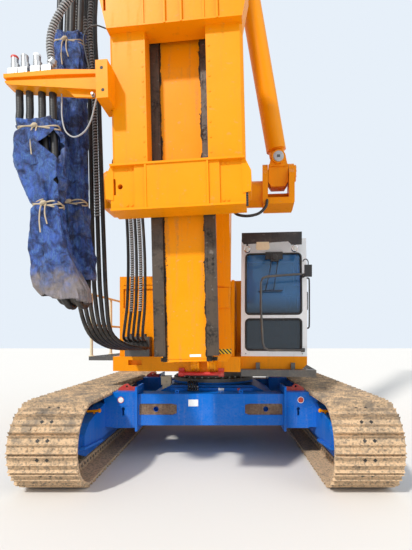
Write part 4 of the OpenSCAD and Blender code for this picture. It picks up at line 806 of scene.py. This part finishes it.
def rope_tie(name, body, z, mid, half, turns, tails=((0.0, -0.30), (0.03, -0.22))):
    """A rope in some turns round a tarpaulin, its two tails hanging from a knot in front."""
    shape = Shape(body)
    count = 40
    line = []
    for k in range(turns * count + 1):
        a = 2 * pi * k / count - pi / 2
        spread = 1 / oval(a)
        line.append((mid[0] + cos(a) * half[0] * spread, mid[1] + sin(a) * half[1] * spread,
                     z + 0.020 * (k / count - turns / 2) + 0.012 * sin(3 * a + k * 0.05)))
    shape.tube(line, 0.008, 7)
    x, front = mid[0], mid[1] - half[1]
    for dx, drop in tails:
        shape.curve([(x + dx, front - 0.005, z), (x + dx * 1.6 - 0.02, front - 0.026, z - 0.05),
                     (x + dx * 2 - 0.03, front - 0.032, z + drop * 0.6),
                     (x + dx * 2.4 - 0.02, front - 0.034, z + drop)], 4, 0.007, 7)
    shape.lathe((x - 0.03, front - 0.016, z - 0.01), (x + 0.035, front - 0.016, z + 0.012),
                [(0, 0.006), (0.15, 0.017), (0.5, 0.024), (0.85, 0.017), (1, 0.006)], 12)
    piece(name, shape, ROPE)


wrapped_tarp("front_tarp", "sledge", "tarp_front", [
    (4.06, -1.455, ARM_Y, 0.20, 0.072), (3.90, -1.44, ARM_Y, 0.235, 0.085), (3.68, -1.455, ARM_Y, 0.24, 0.095),
    (3.42, -1.412, ARM_Y, 0.195, 0.095), (3.19, -1.37, -2.957, 0.142, 0.088), (3.0, -1.372, -2.957, 0.15, 0.09),
    (2.74, -1.37, -2.955, 0.18, 0.095), (2.50, -1.315, -2.945, 0.22, 0.10), (2.34, -1.255, -2.94, 0.25, 0.112),
    (2.23, -1.215, -2.925, 0.21, 0.115)], 3.0, ((3.98, 0.08), (3.19, 0.05)), slant=0.045,
    gaps=((3.99, 3.80, 3.58, 1.9), (3.50, 3.42, 3.28, 0.9)))
wrapped_tarp("rear_tarp", "mast", "tarp_rear", [
    (5.24, -1.31, -2.565, 0.17, 0.078), (4.8, -1.31, -2.565, 0.165, 0.08), (4.2, -1.315, -2.565, 0.158, 0.078),
    (3.6, -1.318, -2.565, 0.152, 0.08), (3.34, -1.30, -2.568, 0.146, 0.078), (3.0, -1.285, -2.57, 0.165, 0.085),
    (2.70, -1.26, -2.58, 0.17, 0.088), (2.50, -1.25, -2.585, 0.165, 0.085)],
    11.0, ((5.15, 0.05), (3.34, 0.05)), slant=0.03)
rope_tie("front_tarp_tie", "sledge", 3.98, (-1.45, ARM_Y), (0.218, 0.083), 2)
rope_tie("front_tarp_lower_tie", "sledge", 3.19, (-1.37, -2.957), (0.150, 0.095), 3)
rope_tie("rear_tarp_tie", "mast", 5.15, (-1.31, -2.565), (0.175, 0.083), 2)
rope_tie("rear_tarp_lower_tie", "mast", 3.34, (-1.30, -2.568), (0.163, 0.094), 3,
         ((-0.05, -0.24), (-0.1, -0.16)))

# Hose arm: caps of its couplings
for number, (x, finish) in enumerate(((-1.693, RED), (-1.583, ZINC), (-1.45, WHITE)), 1):
    cap = Shape("sledge").lathe((x - 0.005, ARM_Y, 4.7403), (x - 0.005, ARM_Y, 4.7403 + 0.03),
                                [(0, 0.037), (0.5, 0.039), (0.85, 0.034), (1, 0.02)])
    piece("coupling_cap_%d" % number, cap, finish, 0.002)


# Undercarriage: beam pockets, swivel hoses, junction box, labels, track bolts, levers
def plate_with_hole(shape, low, high, centre, radius, front, back):
    """A plate in the XZ plane from y front to y back, with a round hole."""
    inner, outer = [], []
    count = 48
    for k in range(count):
        a = 2 * pi * (k + 0.5) / count
        c, s = cos(a), sin(a)
        reach = min((high[0] - centre[0]) / c if c > 0 else (low[0] - centre[0]) / c,
                    (high[1] - centre[1]) / s if s > 0 else (low[1] - centre[1]) / s)
        inner.append((centre[0] + c * radius, centre[1] + s * radius))
        outer.append((centre[0] + c * reach, centre[1] + s * reach))
    faces = []
    for k in range(count):
        m = (k + 1) % count
        faces += [(k, m, count + m, count + k), (2 * count + k, 3 * count + k, 3 * count + m, 2 * count + m),
                  (k, 2 * count + k, 2 * count + m, m), (count + k, count + m, 3 * count + m, 3 * count + k)]
    shape.add([(x, y, z) for y in (front, back) for ring_of in (inner, outer) for x, z in ring_of], faces)


primer = Shape("undercarriage")
for s in (-1, 1):
    for y in (-1.1885, 1.1865):
        low_x, high_x = sorted((s * 0.497, s * 1.043))
        plate_with_hole(primer, (low_x, 0.682), (high_x, 0.843), (s * 0.8, 0.765), 0.0385, y, y + 0.002)
piece("beam_pocket_primer", primer, PRIMER)

fasteners("ring_bolt_heads", [(p, (0, 0, 1)) for p in ring("z", 0, 0, 1.171, 0.645, [
    radians(10 * k + 5) for k in range(36)])], "undercarriage", ZINC, 0.013, 0.008, 12)

fittings = Shape("undercarriage")
for k in range(4):
    x = -0.335 + k * 0.036
    hose("swivel_hose_%d" % (k + 1),
         [(x, -0.89, 1.012), (x, -0.94, 1.018), (x - 0.01, -0.972, 1.06), (x - 0.02, -0.955, 1.112),
          (x - 0.01, -0.90, 1.13), (x, -0.84, 1.105), (x, -0.80, 1.06), (x, -0.79, 1.025)],
         0.0125, "undercarriage", RUBBER, sides=10)
    fittings.lathe((x, -0.792, 1.029), (x, -0.799, 1.062),
                   [(0, 0.020), (0.4, 0.020), (0.5, 0.015), (1, 0.015)], 6)
    fittings.lathe((x, -0.895, 1.012), (x, -0.938, 1.017),
                   [(0, 0.019), (0.5, 0.019), (0.55, 0.015), (1, 0.015)], 6)
piece("swivel_hose_fittings", fittings, ZINC, 0.001)
manifold = Shape("undercarriage").block((-0.37, -0.90, 0.984), (-0.2, -0.8485, 1.034))
piece("swivel_manifold", manifold, BLACK, 0.004)

box = Shape("undercarriage").block((-0.80, -0.76, 1.065), (-0.645, -0.65, 1.205))
box.block((-0.806, -0.766, 1.19), (-0.639, -0.644, 1.205)).block((-0.78, -0.74, 0.98), (-0.66, -0.70, 1.066))
for x in (-0.785, -0.66):
    box.rod((x, -0.759, 1.085), (x, -0.768, 1.085), 0.008, 8)
box.rod((-0.7225, -0.759, 1.12), (-0.7225, -0.785, 1.12), 0.012, 12)
piece("junction_box", box, CREAM, 0.006)

tags = Shape("undercarriage").block((-0.328, -1.2045, 0.806), (-0.184, -1.2003, 0.905))
piece("blank_tags", tags.block((0.10, -0.8525, 0.989), (0.19, -0.8488, 1.026)), WHITE, 0.0015)
fasteners("tag_rivets", [((x, -1.2046, z), (0, -1, 0)) for x in (-0.319, -0.193) for z in (0.815, 0.896)],
          "undercarriage", ZINC, 0.004, 0.003, 8)
label = Shape("undercarriage").block((0.395, -0.8525, 0.989), (0.44, -0.8488, 1.026))
piece("blank_red_label", label, RED, 0.0015)

# The tracks: their loop is two arcs of radius PLATE_R round the wheels, joined by straights
SHOES, PLATE_R, WHEEL_Y, MID, TRACK_X = 53, 0.487, 2.075, 0.525, 1.81
ARC, FLAT = pi * PLATE_R, 2 * WHEEL_Y
LOOP = 4 * WHEEL_Y + 2 * pi * PLATE_R
# A shoe whose outward direction has a lower Z than this lies on the ground
ON_GROUND = -0.97


def belt_spot(s, out):
    """Place and outward direction on a track's loop, at a distance along it."""
    s, r = s % LOOP, PLATE_R + out
    if s < FLAT:
        return (WHEEL_Y - s, MID + r), (0, 1)
    if s < FLAT + ARC:
        a = radians(90 + (s - FLAT) / ARC * 180)
        return (-WHEEL_Y + r * cos(a), MID + r * sin(a)), (cos(a), sin(a))
    if s < 2 * FLAT + ARC:
        return (-WHEEL_Y + s - FLAT - ARC, MID - r), (0, -1)
    a = radians(270 + (s - 2 * FLAT - ARC) / ARC * 180)
    return (WHEEL_Y + r * cos(a), MID + r * sin(a)), (cos(a), sin(a))


def shoe_spots(middle_x, share, out, offsets):
    """Spots on every shoe that doesn't face the ground, at a share of its length and at offsets from a track's
    middle."""
    spots = []
    for k in range(SHOES):
        (y, z), (ny, nz) = belt_spot((k + share) * LOOP / SHOES, out)
        if nz > ON_GROUND:
            spots += [((middle_x + dx, y, z), (0, ny, nz)) for dx in offsets]
    return spots


for side, sign, disc_finish, rim_finish in (("left", -1, WHITE, RED), ("right", 1, RED, WHITE)):
    body, middle_x = "side_" + side, sign * TRACK_X
    heads = shoe_spots(middle_x, 0.695, 0.004, (-0.17, -0.10, 0.10, 0.17))
    # Painted shade: flat black squares on the shoes stand for their mud holes.
    hole_shade_spots = shoe_spots(middle_x, 0.28, 0.0025, (-0.055, 0.055))
    fasteners("shoe_bolts_" + side, heads, body, TRACK, 0.018, 0.014)
    fasteners("mud_hole_shade_discs_" + side, hole_shade_spots, body, RUBBER, 0.024, 0.003, 4)
    pins = []
    for k in range(2 * SHOES):
        (y, z), way = belt_spot((k + 0.25) * LOOP / SHOES / 2, -0.0800)
        pins += [((middle_x + dx, y, z), (dx, 0, 0)) for dx in (-0.1305, 0.1305)]
    fasteners("chain_pins_" + side, pins, body, STEEL, 0.021, 0.012, 14)

    x, disc_z = sign * 1.30, 0.905
    discs, rims = Shape(body), Shape(body)
    for y, out_y in ((-1.2353, -0.004), (1.2353, 0.004)):
        discs.lathe((x, y, disc_z), (x, y + out_y, disc_z), [(0, 0.045), (0.6, 0.045), (1, 0.041)], 32)
        rims.tube(ring("y", x, disc_z, y + out_y, 0.043, circle(28)), 0.004, 6, closed=True)
    piece("blank_discs_" + side, discs, disc_finish)
    piece("disc_rims_" + side, rims, rim_finish)
    lever = Shape(body)
    for y in (-1.62, 1.56):
        lever.rod((sign * 1.49, y, 0.822), (sign * 1.65, y, 0.812), 0.017, 12)
        lever.lathe((sign * 1.495, y, 0.822), (sign * 1.465, y, 0.824),
                    [(0, 0.026), (0.5, 0.03), (1, 0.02)], 12)
        lever.rod((sign * 1.555, y, 0.75), (sign * 1.555, y, 0.82), 0.011, 10)
    piece("track_lock_levers_" + side, lever, YELLOW)
    for name, y, face_x, way, radius, count, finish, head, height in (
            ("idler_bolts_", -WHEEL_Y, TRACK_X + 0.1805, sign, 0.075, 6, STEEL, 0.011, 0.01),
            ("final_drive_bolts_", WHEEL_Y, 1.52, -sign, 0.155, 12, ZINC, 0.012, 0.012)):
        spots = [(p, (way, 0, 0)) for p in ring("x", y, MID, sign * face_x, radius, circle(count))]
        fasteners(name + side, spots, body, finish, head, height)

# Back stays: steel caps on the pins, with keeper plates and bolts
STAY_FOOT = (1.05, -1.65, 3.955)
CAP_FACE, PIN_Z = -0.172, 0.17


def stay_frame(sign):
    """Frame of a stay's swivel block, its pin square to the mast."""
    foot = Vector((sign * STAY_FOOT[0], *STAY_FOOT[1:]))
    top = PIVOT + Matrix.Rotation(-LEAN, 3, "Y") @ (Vector((sign * 0.425, -1.99, 8.2)) - PIVOT)
    way = top - foot
    return UPPER @ Matrix.Translation(foot) @ Matrix.Rotation(atan2(-way.y, way.z), 4, "X")


caps, keepers = Shape("stay_barrels"), Shape("stay_barrels")
spots = []
for sign in (-1, 1):
    stay = stay_frame(sign)
    caps.place = keepers.place = stay
    caps.lathe((0, -0.1605, PIN_Z), (0, CAP_FACE, PIN_Z),
               [(0, 0.066), (0.3, 0.068), (0.8, 0.063), (1, 0.05)], 40)
    keepers.block((-0.02, -0.178, 0.155), (0.02, CAP_FACE, 0.185))
    spots += [(stay @ Vector(p), stay.to_3x3() @ Vector((0, -1, 0)))
              for p in ring("y", 0, PIN_Z, CAP_FACE, 0.045, [pi / 4 + a for a in circle(4)])]
piece("stay_pin_caps", caps, ZINC)
piece("stay_pin_keepers", keepers, STEEL, 0.001)
fasteners("stay_cap_bolts", spots, "stay_barrels", ZINC, 0.008, 0.006)

# Saddle: the hose that dips under the right stay's foot, and bolts round the stays' bearing caps
hose("saddle_hose", [(0.4253, -1.80, 3.58), (0.448, -1.81, 3.55), (0.47, -1.84, 3.44), (0.53, -1.86, 3.372),
                     (0.66, -1.875, 3.345), (0.80, -1.88, 3.372), (0.885, -1.882, 3.45), (0.905, -1.868, 3.53),
                     (0.905, -1.8403, 3.548)], THIN_R, "saddle")
fasteners("stay_bearing_bolts", [(p, (sign, 0, 0)) for sign in (-1, 1) for p in ring(
    "x", *STAY_FOOT[1:], sign * 1.2803, 0.084, circle(8))], "saddle", ZINC, 0.011, 0.010)

# Mast: bolts of its foot and flanges, hazard plate, foot plate
fasteners("foot_plate_bolts", [((0.35, -2.1552 if z > 2.3 else -2.1702, z), (0, -1, 0))
                               for z in (2.3441, 2.255, 2.185)], "mast", STEEL, 0.016, 0.014)
for height, name in ((9.0, "mast_joint"), (18.85, "mast_top")):
    flange = [((x, -2.1395, height + dz), (0, 1, 0)) for x in np.linspace(-0.2, 0.2, 5) for dz in (-0.05, 0.05)]
    flange += [((sign * 0.2605, y, height + dz), (sign, 0, 0))
               for y in np.linspace(-2.66, -2.2, 6) for sign in (-1, 1) for dz in (-0.05, 0.02)]
    fasteners(name + "_bolts", flange, "mast", YELLOW, 0.017, 0.016)
piece("hazard_plate", Shape("mast").block((0.262, -2.173, 1.60), (0.425, -2.1702, 1.66)), HAZARD)
piece("blank_foot_plate", Shape("mast").block((0.03, -2.7655, 1.60), (0.15, -2.7625, 1.625)), WHITE, 0.001)

# Sledge: rack at the lower right end, bolts, the arm's fittings and cables
teeth = Shape("sledge").plate([(0.668, 3.055), (0.690, 3.060), (0.690, 3.073), (0.668, 3.078)],
                              "y", -3.058, -3.03)
row_of("sledge_rack", teeth, 6, (0, 0, 0.024), BLACK)
fasteners("sledge_bolts", [((sign * x, -3.0605, z), (0, -1, 0)) for sign in (-1, 1) for x in (0.455, 0.50)
                           for z in (3.12, 3.47)], "sledge", YELLOW, 0.014, 0.012)
fasteners("column_bolts", [((sign * 0.335, -3.0, z), (0, -1, 0)) for sign in (-1, 1)
                           for z in np.arange(3.62, 4.84, 0.15)], "sledge", YELLOW, 0.010, 0.008)
# Painted shade: flat black discs stand for the bracket's two holes.
fasteners("bracket_hole_shade_discs", [((x, -3.2, z), (0, -1, 0)) for x, z in ((-0.675, 4.397), (-0.667, 4.184))],
          "sledge", RUBBER, 0.016, 0.002, 20)
pots = Shape("sledge")
for x, z in ((-0.84, 4.483), (-0.79, 4.4783)):
    pots.lathe((x, -2.99, z), (x, -2.99, z + 0.045), [(0, 0.014), (0.3, 0.014), (0.32, 0.009), (0.8, 0.009),
                                                      (0.82, 0.012), (1, 0.010)], 12)
pots.lathe((-0.83, -3.029, 4.245), (-0.83, -3.075, 4.245),
           [(0, 0.022), (0.4, 0.022), (0.45, 0.016), (1, 0.014)], 6)
piece("arm_fittings", pots, ZINC, 0.001)
hose("arm_grey_cable", [(-1.20, ARM_Y, arm_under(-1.19) - 0.0004), (-1.20, -2.962, 4.25), (-1.20, -2.965, 4.10),
                        (-1.165, -2.97, 3.95), (-1.07, -2.98, 3.875), (-0.95, -3.0, 3.91), (-0.86, -3.04, 4.0),
                        (-0.80, -3.08, 4.12), (-0.765, -3.10, 4.185), (-0.7355, -3.10, 4.20)],
     0.008, "sledge", GUARD, sides=8)
hose("arm_thin_loop", [(-0.90, -2.97, 4.4895), (-0.90, -2.97, 4.58), (-0.93, -2.97, 4.72), (-0.95, -2.97, 4.86),
                       (-0.91, -2.97, 4.97), (-0.82, -2.97, 5.0), (-0.745, ARM_Y, 4.98),
                       (-0.6925, -2.95, 4.96)],
     0.007, "sledge", sides=8)

# Cab: window rubbers, wiper, visor, lamps, mirror, controls, handles
CAB_FRONT, BROW, RAKE = -0.9, 2.324, 0.12 / 1.006


def face_y(z, out=0.0):
    """Y at a distance out from the cab's front, at a height."""
    return CAB_FRONT + max(0.0, z - BROW) * RAKE - out


def rounded_outline(low, high, r):
    n = 8
    return [(cx + r * cos(radians(start + 90 * k / n)), cz + r * sin(radians(start + 90 * k / n)))
            for cx, cz, start in ((high[0] - r, high[1] - r, 0), (low[0] + r, high[1] - r, 90),
                                  (low[0] + r, low[1] + r, 180), (high[0] - r, low[1] + r, 270))
            for k in range(n + 1)]


def dense(outline):
    """More points along the straight stretches of a closed outline."""
    out, step = [], 0.06
    for k, (x, z) in enumerate(outline):
        x2, z2 = outline[(k + 1) % len(outline)]
        n = max(1, int(hypot(x2 - x, z2 - z) / step))
        out += [(x + (x2 - x) * t / n, z + (z2 - z) * t / n) for t in range(n)]
    return out


rubber = Shape("upper")
for low_corner, high_corner in (((0.605, 2.164), (1.435, 3.09)), ((0.605, 1.619), (1.435, 2.084))):
    rubber.tube([(x, face_y(z, 0.002), z) for x, z in dense(rounded_outline(low_corner, high_corner, 0.055))],
                0.016, 8, closed=True)
piece("window_rubbers", rubber, RUBBER)

wiper = Shape("upper")
wiper.block((0.90, face_y(3.06, 0.05), 3.0), (1.16, face_y(3.06, 0.012), 3.11))
wiper.block((0.98, face_y(3.0, 0.085), 2.96), (1.10, face_y(3.0, 0.02), 3.06))
for top_x, low_x in ((0.99, 0.90), (1.09, 1.02)):
    wiper.curve([(top_x, face_y(2.99, 0.05), 2.99), (top_x - 0.02, face_y(2.85, 0.065), 2.85),
                 (low_x, face_y(2.52, 0.05), 2.52)], 6, 0.007, 8)
wiper.lathe((1.04, face_y(3.02, 0.06), 3.02), (1.04, face_y(3.02, 0.10), 3.02),
            [(0, 0.05), (0.6, 0.05), (1, 0.035)], 20)
wiper.curve([(0.79, face_y(2.51, 0.03), 2.505), (0.97, face_y(2.515, 0.045), 2.52),
             (1.156, face_y(2.51, 0.03), 2.515)], 6, 0.008, 6)
wiper.block((0.80, face_y(2.51, 0.03), 2.492), (1.146, face_y(2.51, 0.012), 2.502))
piece("wiper", wiper, BLACK, 0.003)
visor = Shape("upper").plate([(0.765, 3.225), (0.95, 3.225), (0.96, 3.13), (0.94, 3.105), (0.775, 3.105),
                              (0.755, 3.13)], "y", -1.0235, -1.0205)
piece("visor", visor, CREAM, 0.002)

lens, rims, lamp_z = Shape("upper"), Shape("upper"), 3.1183
for x in (0.627, 1.325):
    lens.lathe((x, -1.0448, lamp_z), (x, -1.058, lamp_z), [(0, 0.037), (0.4, 0.035), (0.8, 0.022), (1, 0.006)])
    rims.tube(ring("y", x, lamp_z, -1.046, 0.040, circle(28)), 0.005, 8, closed=True)
piece("lamp_lenses", lens, LENS)
piece("lamp_rims", rims, CHROME)

mirror = Shape("upper").curve([(1.47, face_y(2.97) + 0.01, 2.97), (1.475, face_y(2.97, 0.09), 2.975),
                               (1.50, -1.00, 2.96), (1.52, -1.02, 2.92), (1.52, -1.02, 2.87)], 5, 0.008, 8)
piece("mirror", mirror.block((1.465, -1.035, 2.70), (1.575, -1.005, 2.875)), BLACK, 0.008)
piece("mirror_glass", Shape("upper").block((1.473, -1.0048, 2.708), (1.567, -1.002, 2.867)), CHROME)

controls = Shape("upper")
for x in (0.82, 1.23):
    controls.block((x - 0.05, -0.35, 1.59), (x + 0.05, 0.1, 2.12))
    controls.lathe((x, -0.28, 2.12), (x, -0.33, 2.30), [(0, 0.02), (0.3, 0.012), (0.6, 0.012), (0.7, 0.024),
                                                        (1, 0.02)], 14)
controls.block((1.28, -0.62, 1.60), (1.40, -0.50, 2.45)).block((1.20, -0.66, 2.45), (1.42, -0.60, 2.62))
for x in (0.93, 1.12):
    controls.block((x - 0.05, -0.72, 1.575), (x + 0.05, -0.55, 1.60))
    controls.rod((x, -0.60, 1.60), (x, -0.68, 1.95), 0.010, 10)
piece("cab_controls", controls, BLACK, 0.006)
piece("cab_back_liner", Shape("upper").block((0.585, 0.735, 1.60), (1.465, 0.745, 3.26)), SEAT, 0.004)

clamps = Shape("upper")
for z in (2.74, 1.62):
    clamps.block((1.425, face_y(z, 0.028), z - 0.028), (1.485, face_y(z, 0.0005), z + 0.028))
piece("rail_clamps", clamps, BLACK, 0.004)
fasteners("cab_band_bolts", [((0.60, -0.9005, 1.563), (0, -1, 0)), ((1.45, -0.9005, 1.565), (0, -1, 0))],
          "upper", ZINC, 0.012, 0.010)
handle = Shape("cab_door").curve([(x, -0.59, z) for x, z in (
    (1.522, 2.25), (1.56, 2.25), (1.562, 2.35), (1.562, 2.46), (1.56, 2.52), (1.522, 2.52))], 4, 0.009, 8)
handle.block((1.5202, -0.61, 2.05), (1.535, -0.51, 2.13)).block((1.535, -0.60, 2.075), (1.55, -0.53, 2.105))
piece("door_handle", handle, BLACK, 0.003)

seam = Shape("cab_door")
for low_y, high_y, low_z, high_z, r in (
        (-0.645, 0.245, 1.589, 3.205, 0.007), (-0.57, 0.17, 2.234, 3.13, 0.010)):
    outline = [(low_y, low_z), (high_y, low_z), (high_y, high_z), (low_y, high_z)]
    seam.tube([(1.5205, y, z) for y, z in dense(outline)], r, 8, closed=True)
piece("door_rubbers", seam, RUBBER)
GRAB_Y = -0.76
grab = Shape("upper").curve([(x, GRAB_Y, z) for x, z in (
    (1.518, 1.95), (1.562, 1.96), (1.57, 2.05), (1.57, 2.35), (1.57, 2.62), (1.562, 2.71), (1.518, 2.72))],
    4, 0.012, 10)
for z in (1.95, 2.72):
    grab.lathe((1.5203, GRAB_Y, z), (1.527, GRAB_Y, z), [(0, 0.03), (0.5, 0.03), (1, 0.024)], 16)
piece("cab_grab_rail", grab, BLACK)

# Upper carriage: handrail, louvres, latches, treads, counterweight, exhaust, tank, drums
rails, rail_x = Shape("upper"), -1.75
for y in (-1.07, -0.3, 0.47):
    rails.rod((rail_x, y, 1.523), (rail_x, y, 2.462), 0.0225, 14)
    rails.lathe((rail_x, y, 1.5203), (rail_x, y, 1.535), [(0, 0.045), (0.5, 0.045), (1, 0.03)], 16)
for z in (2.0, 2.47):
    rails.rod((rail_x, -1.097, z), (rail_x, 0.497, z), 0.019, 12)
piece("cream_handrail", rails, CREAM)
for side, way, face, ends, y in (("left", -1, -1.4, (1.15, 1.85), 0.98), ("right", 1, 1.52, (1.4, 2.25), 1.24)):
    body = "house_door_" + side
    slat = Shape(body).plate([(face + way * out, z) for out, z in (
        (-0.004, 2.058), (0.004, 2.054), (0.020, 2.018), (0.017, 2.016), (0, 2.045), (-0.004, 2.047))],
        "y", *ends)
    row_of(side + "_door_louvres", slat, 8, (0, 0, 0.075), YELLOW)
    low_x, high_x = sorted((face + way * 0.0003, face + way * 0.012))
    latch = Shape(body).block((low_x, y - 0.045, 2.06), (high_x, y + 0.045, 2.24))
    latch.curve([(face + way * out, y, z) for out, z in (
        (0.01, 2.09), (0.034, 2.10), (0.036, 2.15), (0.034, 2.20), (0.01, 2.21))], 4, 0.008, 8)
    piece(side + "_door_latch", latch, BLACK, 0.003)
for name, low_corner, high_corner, count, step in (
        ("walkway_tread", (-1.745, -1.06, 1.5202), (-1.43, -1.05, 1.524), 37, 0.041),
        ("step_tread", (1.535, -0.90, 1.3352), (1.62, -0.89, 1.339), 40, 0.041),
        ("roof_tread", (-1.30, 1.0, 2.9002), (-1.16, 1.02, 2.9035), 22, 0.075)):
    row_of(name, Shape("upper").block(low_corner, high_corner), count, (0, step, 0), STEEL)

TAIL_R = 3.85
slab_bolts = [((x, sqrt(TAIL_R ** 2 - x * x), z), (x, sqrt(TAIL_R ** 2 - x * x), 0))
              for x in (-1.05, -0.35, 0.45, 1.15) for z in (1.46, 1.90, 2.31)]
fasteners("counterweight_bolts", slab_bolts, "upper", YELLOW, 0.035, 0.022)
reflector, lifting = Shape("upper"), Shape("upper")
for x in (-0.95, 1.05):
    start = Vector((x, sqrt(TAIL_R ** 2 - x * x), 1.62))
    way = Vector((start.x, start.y, 0)).normalized()
    reflector.lathe(start - way * 0.004, start + way * 0.016,
                    [(0, 0.048), (0.5, 0.048), (0.8, 0.042), (1, 0.03)], 28)
piece("rear_reflectors", reflector, RED)
BAR_Y, BAR_Z = 3.31, 2.45
for x in (-0.9, 0.9):
    lifting.rod((x - 0.093, BAR_Y, BAR_Z), (x + 0.093, BAR_Y, BAR_Z), 0.024, 16)
    lifting.lathe((x - 0.02, BAR_Y, BAR_Z), (x + 0.02, BAR_Y, BAR_Z),
                  [(0, 0.026), (0.2, 0.034), (0.8, 0.034), (1, 0.026)], 16)
piece("counterweight_lifting_bars", lifting, STEEL)
pipe = Shape("upper").curve([(-0.25, 1.5, 3.05), (-0.25, 1.5, 3.20), (-0.25, 1.53, 3.27), (-0.25, 1.60, 3.31)],
                            5, 0.052, 20)
pipe.lathe((-0.25, 1.5, 3.10), (-0.25, 1.5, 3.125), [(0, 0.058), (0.2, 0.062), (0.8, 0.062), (1, 0.058)])
piece("exhaust_bend", pipe, STEEL)
tank_bits = Shape("upper").lathe((-0.9, 0.2, 2.809), (-0.9, 0.2, 2.835),
                                 [(0, 0.062), (0.3, 0.066), (0.9, 0.06), (1, 0.05)])
tank_bits.block((-0.94, 0.19, 2.833), (-0.86, 0.21, 2.85))
tank_bits.rod((-1.28, -0.951, 2.0), (-1.28, -0.965, 2.0), 0.012, 10)
piece("tank_cap", tank_bits, BLACK, 0.003)
piece("tank_gauge", Shape("upper").block((-1.362, -0.56, 1.75), (-1.3502, -0.52, 2.15)), CHROME, 0.004)
fasteners("tank_hatch_bolts", [((x, -0.9505, z), (0, -1, 0)) for x in np.linspace(-1.31, -0.79, 7)
                               for z in (1.60, 2.20)], "upper", YELLOW, 0.010, 0.008)
for drum, middle, turns, radius, width, ridge in (
        ("main_drum", (-0.27, 0.15, 1.93), 18.0, 0.2115, 0.54, 0.009),
        ("aux_drum", (-0.145, -1.88, 10.0), 12.0, 0.1315, 0.29, 0.007)):
    grown(drum + "_grooves", bpy.data.meshes.new(drum + "_start"), GROOVES,
          {"Turns": turns, "Drum radius": radius, "Width": width, "Ridge radius": ridge}, drum, STEEL,
          place=frame_of(drum) @ Matrix.Translation(middle) @ Matrix.Rotation(radians(90), 4, "Y"))


# Floor, backdrop and lamps
def build_floor():
    half = 60
    mesh = bpy.data.meshes.new("floor")
    corners = [(-half, -half, 0), (half, -half, 0), (half, half, 0), (-half, half, 0)]
    mesh.from_pydata(corners, [], [(0, 1, 2, 3)])
    material, shader = new_material("pale_floor")
    shader.inputs["Base Color"].default_value = (0.74, 0.72, 0.69, 1)
    shader.inputs["Roughness"].default_value = 0.9
    mesh.materials.append(material)
    link("floor", mesh)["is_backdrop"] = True


def build_backdrop():
    """A pale sky that the camera and the reflections see, and a softer one that lights."""
    world = bpy.data.worlds.new("studio")
    bpy.context.scene.world = world
    world.use_nodes = True
    tree = world.node_tree
    rays = node(tree, "LightPath").outputs
    other = node(tree, "Math", {0: rays["Is Glossy Ray"], 1: rays["Is Transmission Ray"]}, operation="MAXIMUM")
    shown = node(tree, "Math", {0: rays["Is Camera Ray"], 1: other.outputs[0]}, operation="MAXIMUM")
    sky = tree.nodes["Background"]
    sky.inputs["Color"].default_value = (0.80, 0.87, 0.95, 1)
    sky.inputs["Strength"].default_value = 1.0
    soft = node(tree, "Background", {"Color": (0.88, 0.94, 1.0, 1), "Strength": 0.70})
    blend = node(tree, "MixShader", {0: shown.outputs[0], 1: soft.outputs[0], 2: sky.outputs[0]})
    tree.links.new(blend.outputs[0], tree.nodes["World Output"].inputs[0])


def sun(name, energy, angle, turn, colour):
    data = bpy.data.lights.new(name, "SUN")
    data.energy, data.angle, data.color = energy, radians(angle), colour
    link(name, data).rotation_euler = [radians(a) for a in turn]


build_floor()
build_backdrop()
sun("key", 2.9, 4, (46, 0, -34), (1.0, 0.97, 0.92))
sun("fill", 0.6, 40, (60, 0, 50), (0.92, 0.95, 1.0))

low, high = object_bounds()
